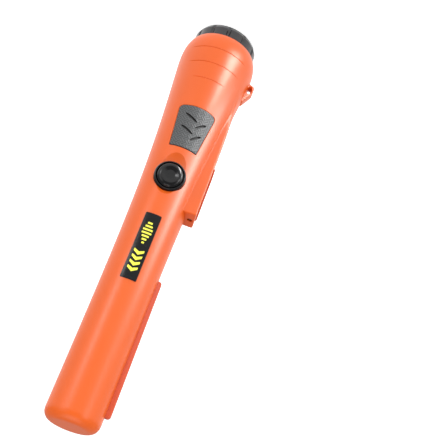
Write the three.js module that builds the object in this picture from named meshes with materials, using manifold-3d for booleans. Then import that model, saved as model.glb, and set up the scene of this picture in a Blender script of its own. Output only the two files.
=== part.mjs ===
// Handheld pinpointer probe: a waterproof moulded tube with a search coil in its slim tip, a push button,
// a flashlight keel down one side and a screw cap over a 9 V battery.
//
// Frame: millimetres, +Z up along the probe's axis. The probe stands on the flat end of its battery cap, with the
// origin at the centre of that face, and points its sensing tip up. The button faces -Y and the keel faces -X.
import * as THREE from "three";
import { mergeVertices } from "three/addons/utils/BufferGeometryUtils.js";
import Module from "manifold-3d";

const wasm = await Module();
wasm.setup();

// ---------------------------------------------------------------- driving dimensions
const LENGTH = 225; // cap end to sensing tip
const TIP_RADIUS = 12.6; // the slim front half is 25.2 mm across
const TIP_FILLET = 4.5;
const RIM_Z = 10.5; // the casing's open end
const FLARE = 11.5; // how much the casing would widen at the start of its flare
const FLARE_START_Z = -41;
const FLARE_LENGTH = 100;
const SHOULDER = 3.2; // how far the shoulder turns in at the rim
const SHOULDER_Z = 38;
const WALL = 2;
const GAP = 0.3; // between pieces that are cut to fit each other
const FIT = 0.1; // between pieces that nest without being cut to fit
const ROUND = 48; // sides of a large turned piece
const SMALL_ROUND = 20;

const BORE_RADIUS = 15.15; // the battery bay
const BORE_TOP_Z = 63.5;
const COIL_BORE_RADIUS = 10.6;

const BUTTON_Z = 101;
const BUTTON_TILT = THREE.MathUtils.degToRad(7); // the button leans towards the tip
const BUTTON_RADIUS = 5.5;
const BEZEL_RADIUS = 7.8;
const BOSS_RADIUS = 10.8;
const SCOOP = { depth: 1.9, stretch: 1.32, offset: 1.7, lean: THREE.MathUtils.degToRad(2.4) };

const PAD = { z0: 59.4, z1: 83.8, halfTop: 10.2, halfTip: 7.3, turn: 3, depth: 1 };
const LABEL = { z0: 123, z1: 158, half: 3.85, thick: 0.35 };
const PAD_SLOT_DEPTH = 0.55;
const GROOVES = [
  { z: 21.9, half: 50 },
  { z: 31.6, half: 46 },
  { z: 41.6, half: 30 },
];

const KEEL = { z0: 37, z1: 112.6, face: 18.5, half: 7.2, edge: 1.2 };
const KEEL_RIBS = { count: 12, first: 84, pitch: 2.2, radius: 0.8 };
const LED_X = -16;
const LOOP = { z0: 22.6, z1: 35.6, peakZ: 26, reach: 23.2, thick: 5 };
const BLADE = { z0: 149.2, z1: 216.5, face: 14.8, half: 1.5, foot: 11.9 };

const CAP_RADIUS = 17.4;
const CAP_TOP_Z = RIM_Z - GAP;
const NECK_RADIUS = 14.75;
const NECK_TOP_Z = 15.6;
const THREAD = { pitch: 3, z0: 12.9, turns: 0.75, ridge: 15.6, width: 1 };

const BATTERY = { x: 26.5, y: 17.5, z0: 16.2, z1: 62.3, corner: 3 };
const TERMINAL_X = 6.35;
const BOARD = { x: 19, thick: 1.6, y: -0.2, z0: 70.3, z1: 142 };
const BOARD_BACK_Y = BOARD.y + BOARD.thick / 2;
const BOARD_FRONT_Y = BOARD.y - BOARD.thick / 2;
const COIL = { z0: 158, z1: 214, flange: 1.8 };

// ---------------------------------------------------------------- materials
const paint = (color, roughness, metalness = 0) => new THREE.MeshStandardMaterial({ color, roughness, metalness });
const finish = {
  orange: paint(0xff6a24, 0.42),
  blackPlastic: paint(0x17181a, 0.35),
  greyRubber: paint(0x4c4f52, 0.8),
  blackRubber: paint(0x141414, 0.75),
  label: paint(0x101214, 0.25),
  glossBlack: paint(0x0b0c0d, 0.12),
  clear: paint(0xe8eef2, 0.08),
  board: paint(0x14553a, 0.5),
  copper: paint(0xb4602a, 0.35, 1),
  steel: paint(0xb9bcc0, 0.3, 1),
  brass: paint(0xc9a45a, 0.35, 1),
  ferrite: paint(0x2b2c2f, 0.6),
  foam: paint(0x3a3a3c, 0.95),
};

// ---------------------------------------------------------------- solids
// A closed geometry as a manifold-3d solid.
function solid(geometry) {
  const bare = geometry.index ? geometry.toNonIndexed() : geometry.clone();
  bare.deleteAttribute("normal");
  bare.deleteAttribute("uv");
  const merged = mergeVertices(bare, 1e-4);
  return new wasm.Manifold(
    new wasm.Mesh({
      numProp: 3,
      vertProperties: merged.attributes.position.array,
      triVerts: new Uint32Array(merged.index.array),
    }),
  );
}

// A solid's faces as a geometry.
function faces(body) {
  const mesh = body.getMesh();
  const points = new Float32Array(mesh.numVert * 3);
  for (let i = 0; i < mesh.numVert; i++) {
    points.set(mesh.vertProperties.subarray(i * mesh.numProp, i * mesh.numProp + 3), i * 3);
  }
  return new THREE.BufferGeometry()
    .setAttribute("position", new THREE.BufferAttribute(points, 3))
    .setIndex(new THREE.BufferAttribute(mesh.triVerts, 1));
}

// A body turned about +Z from [radius, z] points, which run from the bottom up the outside.
function turned(points, sides = ROUND) {
  const profile = points.map(([radius, z]) => new THREE.Vector2(radius, z));
  return new THREE.LatheGeometry(profile, sides).rotateX(Math.PI / 2);
}

const disc = (radius, z0, z1, sides) => turned([[0, z0], [radius, z0], [radius, z1], [0, z1]], sides);

function tube(inner, outer, z0, z1, sides) {
  return turned([[inner, z0], [outer, z0], [outer, z1], [inner, z1], [inner, z0]], sides);
}

function ring(major, minor, z, sides = 36, section = 8) {
  return new THREE.TorusGeometry(major, minor, section, sides).translate(0, 0, z);
}

const block = (x, y, z, cx, cy, cz) => new THREE.BoxGeometry(x, y, z).translate(cx, cy, cz);

// A plate whose outline lies in the XZ plane, centred on Y.
function plate(shape, thick, bevel = 0) {
  const options = { depth: thick - 2 * bevel, bevelEnabled: bevel > 0, curveSegments: 8 };
  if (bevel > 0) {
    Object.assign(options, { bevelThickness: bevel, bevelSize: bevel, bevelOffset: -bevel, bevelSegments: 2 });
  }
  return new THREE.ExtrudeGeometry(shape, options)
    .translate(0, 0, bevel - thick / 2)
    .rotateX(Math.PI / 2);
}

function outline(points) {
  return new THREE.Shape(points.map(([x, z]) => new THREE.Vector2(x, z)));
}

// A cable of the given radius through a few points.
function cable(points, radius, steps) {
  const path = new THREE.CatmullRomCurve3(points.map((p) => new THREE.Vector3(...p)));
  const section = new THREE.Shape().absarc(0, 0, radius, 0, 2 * Math.PI);
  return new THREE.ExtrudeGeometry(section, { steps, extrudePath: path, curveSegments: 4 });
}

// Moves each vertex of a geometry as place(vertex) says.
function bent(geometry, place) {
  const position = geometry.attributes.position;
  const vertex = new THREE.Vector3();
  for (let i = 0; i < position.count; i++) {
    place(vertex.fromBufferAttribute(position, i));
    position.setXYZ(i, vertex.x, vertex.y, vertex.z);
  }
  return geometry;
}

// ---------------------------------------------------------------- casing shape
// The casing's outer radius at a height: a slim tip, a long flare and a shoulder that turns in at the rim.
function casingRadius(z) {
  const flare = FLARE * Math.exp(-(((z - FLARE_START_Z) / FLARE_LENGTH) ** 2));
  const turnIn = SHOULDER * Math.max(0, (SHOULDER_Z - z) / (SHOULDER_Z - RIM_Z)) ** 5;
  return TIP_RADIUS + flare - turnIn;
}

const FILLET_Z = LENGTH - TIP_FILLET;
const SHOULDER_STEPS = [10.5, 12, 13.5, 15.5, 18, 21, 25, 30];
const FLARE_STEPS = [37, 45, 54, 64, 75, 87, 100, 115, 132, 152, 175];

function casingOutside(grow = 0) {
  const side = [...SHOULDER_STEPS, ...FLARE_STEPS, FILLET_Z].map((z) => [casingRadius(z) + grow, z]);
  const tip = [];
  for (let step = 1; step <= 4; step++) {
    const angle = (step / 4) * (Math.PI / 2);
    const radius = TIP_RADIUS - TIP_FILLET + (TIP_FILLET + grow) * Math.cos(angle);
    tip.push([radius, FILLET_Z + (TIP_FILLET + grow) * Math.sin(angle)]);
  }
  return [...side, ...tip];
}

// The whole outer form as a solid plug, grown by a gap where a piece is cut to fit it.
function casingPlug(grow = 0) {
  const side = casingOutside(grow);
  return turned([[0, RIM_Z - grow], [side[0][0], RIM_Z - grow], ...side.slice(1), [0, side.at(-1)[1]]]);
}

function casingShell() {
  const inside = [
    [COIL_BORE_RADIUS - 2.5, LENGTH - 2.6],
    [COIL_BORE_RADIUS, LENGTH - 5],
    [COIL_BORE_RADIUS, 170],
    ...[132, 115, 100, 87, 75].map((z) => [casingRadius(z) - WALL, z]),
    [casingRadius(BORE_TOP_Z + 1.5) - WALL, BORE_TOP_Z + 1.5],
    [BORE_RADIUS, BORE_TOP_Z],
    [BORE_RADIUS, RIM_Z],
  ];
  const outside = casingOutside();
  const end = [[0, outside.at(-1)[1]], [0, inside[0][1]]];
  return turned([...outside, ...end, ...inside, outside[0]]);
}

// A patch that lies on the casing's front. width(z) is half its breadth along the surface.
function patch({ z0, z1, turn = 0, from, to, width, bow = 0, around = 10, along = 8 }) {
  return bent(new THREE.BoxGeometry(1, 1, 1, around, 1, along), (p) => {
    const z = z0 + (z1 - z0) * (p.z + 0.5) + bow * 4 * p.x * p.x * (0.5 - p.z);
    const level = p.y < 0 ? to : from;
    const radius = casingRadius(z);
    const angle = THREE.MathUtils.degToRad(turn) - (p.x * 2 * width(z)) / radius;
    p.set(-(radius + level) * Math.sin(angle), -(radius + level) * Math.cos(angle), z);
  });
}

const padHalf = (grow) => (z) =>
  THREE.MathUtils.mapLinear(z, PAD.z0, PAD.z1, PAD.halfTop, PAD.halfTip) + grow;

function padPocket() {
  return patch({ ...PAD, z0: PAD.z0 - GAP, z1: PAD.z1 + GAP, from: -PAD.depth, to: 1.5, width: padHalf(GAP), bow: 0.7 });
}

function thumbPad() {
  return patch({ ...PAD, from: FIT - PAD.depth, to: 0.15, width: padHalf(0), bow: 0.7 });
}

// A slanting slot across the pad, for the grip pattern. Its ends are [across, z], measured along the surface.
function padSlot([across0, z0], [across1, z1]) {
  const length = Math.hypot(across1 - across0, z1 - z0);
  const lean = Math.atan2(z1 - z0, across1 - across0);
  const z = (z0 + z1) / 2;
  const radius = casingRadius(z);
  const angle = THREE.MathUtils.degToRad(PAD.turn) + (across0 + across1) / 2 / radius;
  return new THREE.BoxGeometry(length, 2, 0.75)
    .rotateY(-lean)
    .translate(0, 1 + radius - PAD_SLOT_DEPTH, 0)
    .rotateZ(Math.PI - angle)
    .translate(0, 0, z);
}

// A shallow groove part of the way round the front.
function gripGroove({ z, half }) {
  const start = THREE.MathUtils.degToRad(270 - half);
  const end = THREE.MathUtils.degToRad(270 + half);
  const radius = casingRadius(z);
  const shape = new THREE.Shape()
    .absarc(0, 0, radius - 0.4, start, end, false)
    .absarc(0, 0, radius + 1.5, end, start, true);
  return new THREE.ExtrudeGeometry(shape, { depth: 0.6, bevelEnabled: false, curveSegments: 16 }).translate(0, 0, z - 0.3);
}

// ---------------------------------------------------------------- button frame
// The button's own frame: its origin is on the casing's front, and its axis points out of the face.
const buttonFrame = new THREE.Group();
buttonFrame.position.set(0, -casingRadius(BUTTON_Z), BUTTON_Z);
buttonFrame.rotation.x = Math.PI / 2 - BUTTON_TILT;
buttonFrame.updateMatrix();
const atButton = (geometry) => geometry.applyMatrix4(buttonFrame.matrix);

// ---------------------------------------------------------------- threads
// A helical bar about +Z, from its first to its last turn.
function helix({ inner, outer, width, z0, turns, pitch }) {
  const steps = Math.ceil(turns * 24);
  return bent(new THREE.BoxGeometry(1, 1, 1, steps, 1, 1), (p) => {
    const turn = (p.x + 0.5) * turns;
    const radius = p.y < 0 ? outer : inner;
    const angle = turn * 2 * Math.PI;
    p.set(radius * Math.cos(angle), radius * Math.sin(angle), z0 + turn * pitch + p.z * width);
  });
}

// ---------------------------------------------------------------- outside pieces
// The dish round the button, flat in the middle and drawn out towards the cap.
function thumbScoop() {
  const bowl = [
    [0, -SCOOP.depth],
    [4, -SCOOP.depth + 0.05],
    [6, -SCOOP.depth + 0.3],
    [7.5, -SCOOP.depth + 0.8],
    [8.7, -SCOOP.depth + 1.6],
    [9.5, -SCOOP.depth + 2.5],
    [10, 4],
    [0, 4],
  ];
  return turned(bowl, 32)
    .scale(1, SCOOP.stretch, 1)
    .translate(0, -SCOOP.offset, 0)
    .rotateX(Math.PI / 2 - SCOOP.lean)
    .translate(0, -casingRadius(BUTTON_Z), BUTTON_Z);
}

function mainCasing() {
  const boss = solid(atButton(disc(BOSS_RADIUS, -5, 0, 32))).intersect(solid(casingPlug()));
  const keyway = block(4, 2 * BLADE.half + 2 * GAP, BLADE.z1 - BLADE.z0 + 2 * GAP, 0, 0, 0);
  const threadRun = { inner: BORE_RADIUS - 0.6, outer: THREAD.ridge + GAP, width: THREAD.width + 2 * GAP + 0.2 };
  const cuts = [
    thumbScoop(),
    atButton(disc(BEZEL_RADIUS + GAP, -2.5, 6, 36)),
    atButton(disc(6.9, -6, 0, 32)),
    padPocket(),
    ...GROOVES.map(gripGroove),
    keyway.translate(-(BLADE.foot - GAP) - 2, 0, (BLADE.z0 + BLADE.z1) / 2),
    disc(1.4, 0, 8, 12).rotateY(-Math.PI / 2).translate(-9, 0, 97),
    helix({ ...threadRun, z0: THREAD.z0 - THREAD.pitch, turns: THREAD.turns + 1.05, pitch: THREAD.pitch }),
  ];
  return cuts.reduce((body, cut) => body.subtract(solid(cut)), solid(casingShell()).add(boss));
}

function sideHousing() {
  const shape = outline([[-8, KEEL.z0], [-KEEL.face, KEEL.z0], [-KEEL.face, KEEL.z1], [-8, KEEL.z1]]);
  let body = solid(plate(shape, 2 * KEEL.half, KEEL.edge));
  for (let i = 0; i < KEEL_RIBS.count; i++) {
    const rib = new THREE.CylinderGeometry(KEEL_RIBS.radius, KEEL_RIBS.radius, 2 * (KEEL.half - KEEL.edge), 10);
    body = body.add(solid(rib.translate(-KEEL.face, 0, KEEL_RIBS.first + i * KEEL_RIBS.pitch)));
  }
  const cuts = [
    casingPlug(GAP),
    disc(1.85, 100.5, KEEL.z1 + 1, SMALL_ROUND).translate(LED_X, 0, 0),
    disc(1.25, 95.6, 101, 12).translate(LED_X, 0, 0),
    disc(1.25, -1, 6, 12).rotateY(Math.PI / 2).translate(LED_X, 0, 97),
  ];
  return cuts.reduce((rest, cut) => rest.subtract(solid(cut)), body);
}

function lanyardLoop() {
  const shape = new THREE.Shape();
  shape.moveTo(-15, LOOP.z0);
  shape.lineTo(-19.6, LOOP.z0);
  shape.quadraticCurveTo(-LOOP.reach, LOOP.z0 + 0.4, -LOOP.reach, LOOP.peakZ);
  shape.quadraticCurveTo(-LOOP.reach, LOOP.peakZ + 3, -19.6, LOOP.z1);
  shape.lineTo(-15, LOOP.z1);
  const eye = new THREE.Path().absellipse(-21, 26.6, 1.25, 2.5, 0, 2 * Math.PI);
  shape.holes.push(eye);
  return solid(plate(shape, LOOP.thick)).subtract(solid(casingPlug(GAP)));
}

function scraperBlade() {
  const round = 1.8;
  const { z0, z1, face, foot } = BLADE;
  const shape = new THREE.Shape();
  shape.moveTo(-foot, z0);
  shape.lineTo(-face + round, z0);
  shape.quadraticCurveTo(-face, z0, -face, z0 + round);
  shape.lineTo(-face - 0.4, z1 - round);
  shape.quadraticCurveTo(-face - 0.4, z1, -face - 0.4 + round, z1);
  shape.lineTo(-foot, z1);
  return plate(shape, 2 * BLADE.half);
}

function paddedThumb() {
  const slots = [
    padSlot([-5.5, 64.3], [1.6, 67.9]),
    padSlot([-5.2, 71.8], [1.7, 75.1]),
    padSlot([1.7, 71.2], [6.6, 66.9]),
    padSlot([1.5, 78.7], [6.2, 74.1]),
  ];
  return slots.reduce((body, slot) => body.subtract(solid(slot)), solid(thumbPad()));
}

function batteryCap() {
  const shell = turned([
    [0, 0],
    [12.4, 0],
    [14.4, 0.9],
    [16.3, 2],
    [17.1, 3.2],
    [CAP_RADIUS, 4.6],
    [CAP_RADIUS, CAP_TOP_Z],
    [13.6, CAP_TOP_Z],
    [13.6, 11.8],
    [NECK_RADIUS, 11.9],
    [NECK_RADIUS, NECK_TOP_Z],
    [12.4, NECK_TOP_Z],
    [12.4, 2.5],
    [0, 2.5],
  ]);
  const ridge = { inner: NECK_RADIUS - 0.8, outer: THREAD.ridge, width: THREAD.width };
  let body = solid(shell).add(solid(helix({ ...ridge, z0: THREAD.z0, turns: THREAD.turns, pitch: THREAD.pitch })));
  for (let i = 0; i < 12; i++) {
    const flute = disc(1, -1, CAP_TOP_Z - 0.9, 10).translate(CAP_RADIUS + 0.35, 0, 0);
    body = body.subtract(solid(flute.rotateZ((i * Math.PI) / 6)));
  }
  return body;
}

// ---------------------------------------------------------------- inner pieces
function roundedBlock(x, y, z0, z1, corner) {
  const shape = new THREE.Shape();
  shape.absarc(x / 2 - corner, y / 2 - corner, corner, 0, Math.PI / 2);
  shape.absarc(corner - x / 2, y / 2 - corner, corner, Math.PI / 2, Math.PI);
  shape.absarc(corner - x / 2, corner - y / 2, corner, Math.PI, 1.5 * Math.PI);
  shape.absarc(x / 2 - corner, corner - y / 2, corner, 1.5 * Math.PI, 2 * Math.PI);
  const options = { depth: z1 - z0, bevelEnabled: false, curveSegments: 4 };
  return new THREE.ExtrudeGeometry(shape, options).translate(0, 0, z0);
}

const standoffs = [-1, 1].flatMap((side) => [75.5, 136].map((z) => ({ x: side * 5.6, z })));
const FRAME_Y = 6.3;

function electronicsFrame() {
  const floor = block(13.6, 1.5, 74, 0, FRAME_Y + 0.75, 107);
  const post = ({ x, z }) => disc(1.7, BOARD_BACK_Y + FIT, FRAME_Y + 0.5, 12).rotateX(-Math.PI / 2).translate(x, 0, z);
  const pilot = ({ x, z }) => disc(0.9, 0, FRAME_Y, 10).rotateX(-Math.PI / 2).translate(x, 0, z);
  const body = standoffs.reduce((sum, place) => sum.add(solid(post(place))), solid(floor));
  return standoffs.reduce((rest, place) => rest.subtract(solid(pilot(place))), body);
}

function circuitBoard() {
  const slab = block(BOARD.x, BOARD.thick, BOARD.z1 - BOARD.z0, 0, BOARD.y, (BOARD.z0 + BOARD.z1) / 2);
  const hole = ({ x, z }) => disc(0.95, -3, 3, 12).rotateX(-Math.PI / 2).translate(x, 0, z);
  return standoffs.reduce((rest, place) => rest.subtract(solid(hole(place))), solid(slab));
}

// A pan-head screw along +Z whose head rests at z = 0.
function screw(shank, head, length) {
  return turned([[0, -length], [shank * 0.6, -length], [shank, -length + 1], [shank, 0], [head, 0], [head, 0.7], [head * 0.6, 1.2], [0, 1.2]], 12);
}

function bulkhead() {
  const round = turned([[0, 66.9], [13.6, 66.9], [13.6, 67.6], [12.4, 67.6], [12.4, 69.1], [13.6, 69.1], [13.6, 69.9], [0, 69.9]]);
  const holes = [-1, 1].map((side) => disc(1.05, 65, 69, 10).translate(0, side * 9, 0));
  return holes.reduce((rest, hole) => rest.subtract(solid(hole)), solid(round));
}

function contactBoard() {
  const slab = solid(disc(13.3, 65.4, 66.7, 32));
  const holes = [-1, 1].map((side) => disc(1.1, 64, 68, 10).translate(0, side * 9, 0));
  return holes.reduce((rest, hole) => rest.subtract(solid(hole)), slab);
}

function switchBody() {
  const box = solid(block(6, 3.4, 6, 0, BOARD_FRONT_Y - FIT - 1.7, BUTTON_Z));
  const bore = disc(1.9, 2.3, 8, 14).rotateX(Math.PI / 2).translate(0, 0, BUTTON_Z);
  return box.subtract(solid(bore));
}

function coilBobbin() {
  const { z0, z1, flange } = COIL;
  return turned([
    [4.3, z0],
    [10.2, z0],
    [10.2, z0 + flange],
    [5.2, z0 + flange],
    [5.2, z1 - flange],
    [10.2, z1 - flange],
    [10.2, z1],
    [4.3, z1],
    [4.3, z0],
  ], 32);
}

const MOTOR = { x: 0, y: 3.45, z0: 108, z1: 120, radius: 2.5 };
const atMotor = (geometry) => geometry.translate(MOTOR.x, MOTOR.y, 0);

function vibrationMotor() {
  const can = solid(disc(MOTOR.radius, MOTOR.z0, MOTOR.z1, 18));
  return faces(can.subtract(solid(disc(0.58, MOTOR.z1 - 4, MOTOR.z1 + 1, 16))));
}

function eccentricWeight() {
  const shape = new THREE.Shape().absarc(0, 0, 2.3, 0, Math.PI, false);
  shape.lineTo(-1, -0.9);
  shape.lineTo(1, -0.9);
  const weight = new THREE.ExtrudeGeometry(shape, { depth: 3.4, bevelEnabled: false, curveSegments: 8 });
  return faces(solid(weight.translate(0, 0, MOTOR.z1 + 1)).subtract(solid(disc(0.56, MOTOR.z1, MOTOR.z1 + 6, 16))));
}

function motorClip() {
  const { radius } = MOTOR;
  const shape = new THREE.Shape();
  const open = Math.PI * 0.28;
  const turn = -Math.PI / 2;
  shape.absarc(0, 0, radius + 0.15, turn + open, turn - open + 2 * Math.PI, false);
  shape.absarc(0, 0, radius + 0.28, turn - open + 2 * Math.PI, turn + open, true);
  return new THREE.ExtrudeGeometry(shape, { depth: 6, bevelEnabled: false, curveSegments: 12 }).translate(0, 0, MOTOR.z0 + 3);
}

// ---------------------------------------------------------------- assembly
const probe = new THREE.Group();

function add(name, shape, material, parent = probe) {
  const geometry = shape.isBufferGeometry ? shape : faces(shape);
  const mesh = new THREE.Mesh(geometry, material);
  mesh.name = name;
  parent.add(mesh);
  return mesh;
}

// Casing and what is fixed to its outside.
add("main_casing", mainCasing(), finish.orange);
add("side_housing", sideHousing(), finish.orange);
add("lanyard_loop", lanyardLoop(), finish.orange);
add("scraper_blade", scraperBlade(), finish.orange);
add("thumb_pad", paddedThumb(), finish.greyRubber);
add("front_label", patch({ ...LABEL, from: FIT / 2, to: LABEL.thick, width: () => LABEL.half, around: 6 }), finish.label);

// Button, its frame leaning towards the tip.
probe.add(buttonFrame);
const bezel = [[5.8, -2.4], [BEZEL_RADIUS, -2.4], [BEZEL_RADIUS, 0.3], [7.1, 0.8], [6.3, 0.9], [5.8, 0.5], [5.8, -2.4]];
const dome = [
  [0, -7.1],
  [1.5, -7.1],
  [1.5, -4.3],
  [6.5, -4.3],
  [6.5, -3],
  [BUTTON_RADIUS, -3],
  [BUTTON_RADIUS, 0.9],
  [5, 1.7],
  [3.8, 2.3],
  [2, 2.65],
  [0, 2.75],
];
add("button_bezel", turned(bezel, 36), finish.glossBlack, buttonFrame);
add("button_cap", turned(dome, 32), finish.glossBlack, buttonFrame);
add("button_seal", tube(2.1, 8.4, -6.1, -5.35, 28), finish.blackRubber, buttonFrame);
const plunger = disc(1.6, 3.3, 6.45, 14).rotateX(Math.PI / 2);
add("switch_plunger", plunger, finish.blackPlastic).position.z = BUTTON_Z;
add("switch_body", switchBody(), finish.steel);

// Flashlight in the keel.
const ledProfile = [[0, 103.6], [1.75, 103.6], [1.75, 104.6], [1.5, 104.6], [1.5, 108.4], [1.1, 109.5], [0, 110]];
add("flashlight_led", turned(ledProfile, 16), finish.clear).position.x = LED_X;
add("led_lens", turned([[0, 110.6], [1.75, 110.6], [1.75, 111.3], [1, 111.6], [0, 111.7]], 16), finish.clear).position.x = LED_X;
add("led_cable", cable([[LED_X, 0, 103.3], [LED_X, 0, 100], [LED_X + 0.9, 0, 97.6], [-13, 0, 97], [-9.9, 0, 97]], 0.75, 14), finish.blackRubber);

// Battery cap, which unscrews, and the ring that seals it.
add("battery_cap", batteryCap(), finish.blackPlastic);
add("cap_cushion", disc(12.1, 2.7, 15.9, 32), finish.foam);
add("cap_o_ring", ring(14.35, 0.6, 11.1), finish.blackRubber);

// Battery and its contacts.
add("battery", roundedBlock(BATTERY.x, BATTERY.y, BATTERY.z0, BATTERY.z1, BATTERY.corner), finish.steel);
add("battery_terminal_male", disc(2.9, 62.4, 64.8, SMALL_ROUND), finish.steel).position.x = TERMINAL_X;
add("battery_terminal_female", tube(3.2, 4.4, 62.4, 64.8, SMALL_ROUND), finish.steel).position.x = -TERMINAL_X;
add("contact_socket", tube(3.2, 4.4, 62.8, 65.3, SMALL_ROUND), finish.brass).position.x = TERMINAL_X;
add("contact_stud", disc(2.9, 62.8, 65.3, SMALL_ROUND), finish.brass).position.x = -TERMINAL_X;
add("contact_board", contactBoard(), finish.board);
add("bulkhead", bulkhead(), finish.blackPlastic);
add("bulkhead_o_ring", ring(13.1, 0.62, 68.35), finish.blackRubber);
[-1, 1].forEach((side, i) => {
  const mesh = add("bulkhead_screw_" + (i + 1), screw(0.9, 1.7, 3), finish.steel);
  mesh.position.set(0, side * 9, 65.3);
  mesh.rotation.x = Math.PI;
});

// Circuit board on its frame.
add("circuit_board", circuitBoard(), finish.board);
add("electronics_frame", electronicsFrame(), finish.blackPlastic);
standoffs.forEach(({ x, z }, i) => {
  const mesh = add("board_screw_" + (i + 1), screw(0.75, 1.6, 5), finish.steel);
  mesh.position.set(x, BOARD_FRONT_Y - FIT, z);
  mesh.rotation.x = Math.PI / 2;
});
const chip = (x, y, z, cx, cz) => block(x, y, z, cx, BOARD_BACK_Y + FIT + y / 2, cz);
add("microcontroller", chip(7, 1.2, 7, 4, 99), finish.blackPlastic);
add("amplifier_chip", chip(4, 1.5, 5, -5, 99), finish.blackPlastic);
const lyingCan = (radius, length, cx, cz) =>
  disc(radius, -length / 2, length / 2, 16).translate(cx, BOARD_BACK_Y + FIT + radius, cz);
add("capacitor_large", lyingCan(2.5, 11, 0, 86), finish.blackPlastic);
add("capacitor_small", lyingCan(1.6, 7, 6.4, 115), finish.blackPlastic);
add("inductor", disc(2.8, 0.7, 4.2, 18).rotateX(-Math.PI / 2).translate(0, 0, 131), finish.copper);
add("coil_connector", block(7, 4, 5, 0, BOARD_FRONT_Y - FIT - 2, 138), finish.clear);
add("sounder", turned([[0, 8.3], [7, 8.3], [7, 10.9], [0, 10.9]], 28).rotateX(Math.PI / 2).translate(0, 0, 78.4), finish.brass);
add("sounder_gasket", tube(5.2, 6.8, 11.1, 11.5, 28).rotateX(Math.PI / 2).translate(0, 0, 78.4), finish.blackRubber);

// Vibration motor.
add("vibration_motor", atMotor(vibrationMotor()), finish.steel);
add("motor_clip", atMotor(motorClip()), finish.brass);
add("motor_shaft", atMotor(disc(0.5, MOTOR.z1 - 3.5, MOTOR.z1 + 5, 16)), finish.steel);
add("eccentric_weight", atMotor(eccentricWeight()), finish.steel);

// Search coil in the tip.
add("ferrite_core", disc(4.1, COIL.z0 + 1, COIL.z1 - 1, 24), finish.ferrite);
add("coil_bobbin", coilBobbin(), finish.clear);
add("coil_winding", tube(5.35, 6.7, COIL.z0 + 2.1, COIL.z1 - 2.1, 32), finish.copper);
add("coil_cable", cable([[5.2, -3, 157.6], [5.2, -3, 152], [3, -4, 147], [0, -3.1, 143.6], [0, -3.1, 140.9]], 0.9, 12), finish.blackRubber);
add("tip_cushion", turned([[0, 214.6], [10.1, 214.6], [10.1, 218.6], [7.6, 221.8], [0, 221.8]], 32), finish.foam);

export default probe;
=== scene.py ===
"""Finished pieces and materials of a handheld pinpointer probe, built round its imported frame."""

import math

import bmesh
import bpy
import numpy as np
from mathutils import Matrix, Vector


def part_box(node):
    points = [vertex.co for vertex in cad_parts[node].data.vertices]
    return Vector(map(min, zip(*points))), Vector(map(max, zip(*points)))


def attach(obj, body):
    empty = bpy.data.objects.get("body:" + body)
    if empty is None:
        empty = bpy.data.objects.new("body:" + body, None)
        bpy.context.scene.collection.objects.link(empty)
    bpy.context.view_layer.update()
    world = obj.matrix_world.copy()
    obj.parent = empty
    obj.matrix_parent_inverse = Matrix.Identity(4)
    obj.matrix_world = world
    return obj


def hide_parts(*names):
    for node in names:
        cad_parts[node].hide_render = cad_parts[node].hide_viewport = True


bl_info = {
    "name": "Pinpointer Probe",
    "version": (1, 0, 0),
    "blender": (4, 5, 0),
    "location": "View3D > Sidebar > Probe",
    "description": "Builds the finished pieces and materials of a handheld pinpointer probe",
    "category": "Object",
}

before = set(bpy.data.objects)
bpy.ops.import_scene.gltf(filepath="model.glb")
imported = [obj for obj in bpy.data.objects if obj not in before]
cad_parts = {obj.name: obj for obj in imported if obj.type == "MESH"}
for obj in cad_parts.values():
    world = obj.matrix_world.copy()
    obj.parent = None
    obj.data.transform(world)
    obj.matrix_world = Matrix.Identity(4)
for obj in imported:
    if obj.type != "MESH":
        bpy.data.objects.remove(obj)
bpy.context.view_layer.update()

MM = 0.001
UP = Vector((0, 0, 1))
UPRIGHT = Matrix.Rotation(math.pi / 2, 4, "X")  # turns what is drawn flat to stand in the XZ plane


# ---------------------------------------------------------------- places taken from the frame
BOXES = {node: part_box(node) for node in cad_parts}


def low(node):
    """The lowest corner of a frame node."""
    return Vector(BOXES[node][0])


def high(node):
    """The highest corner of a frame node."""
    return Vector(BOXES[node][1])


def middle(node):
    """The centre of a frame node's box."""
    return (low(node) + high(node)) / 2


RIM_Z = low("main_casing").z
TIP_Z = high("main_casing").z
BUTTON_Z = 101 * MM
KEEL_END_Z = high("side_housing").z
THREAD_PITCH = 3 * MM


# ---------------------------------------------------------------- settings
def length(name, description, value):
    """A length setting, its default given in millimetres."""
    return bpy.props.FloatProperty(name=name, description=description, default=value * MM, unit="LENGTH")


def tint(name, description, red, green, blue):
    """A colour setting."""
    return bpy.props.FloatVectorProperty(name=name, description=description, subtype="COLOR", size=4,
                                         default=(red, green, blue, 1), min=0, max=1)


class ProbeSizes(bpy.types.PropertyGroup):
    """Sizes of the finished pieces."""

    tip_radius: length("Tip radius", "Radius of the slim sensing end", 12.6)
    tip_fillet: length("Tip fillet", "Rounding of the sensing end's edge", 4.5)
    flare: length("Flare", "Widening at the start of the flare", 11.5)
    flare_start: length("Flare start", "Height that the flare is counted from", -41)
    flare_length: length("Flare length", "How slowly the flare dies away", 100)
    shoulder: length("Shoulder", "How far the casing turns in at its rim", 3.2)
    shoulder_height: length("Shoulder height", "Where the turn-in begins", 38)
    wall: length("Wall", "Thickness of the moulded wall", 2)
    button_lean: bpy.props.FloatProperty(
        name="Button lean", description="Lean of the button towards the tip", default=math.radians(7),
        subtype="ANGLE",
    )
    scoop_depth: length("Scoop depth", "Depth of the dish round the button", 1.9)
    keel_face: length("Keel face", "Distance of the keel's outer face from the axis", 18.5)
    keel_half: length("Keel half width", "Half the keel's width", 7.2)
    cap_radius: length("Cap radius", "Radius of the battery cap", 17.4)
    columns: bpy.props.IntProperty(
        name="Columns", description="Faces round the casing", default=192, min=24
    )


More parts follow.
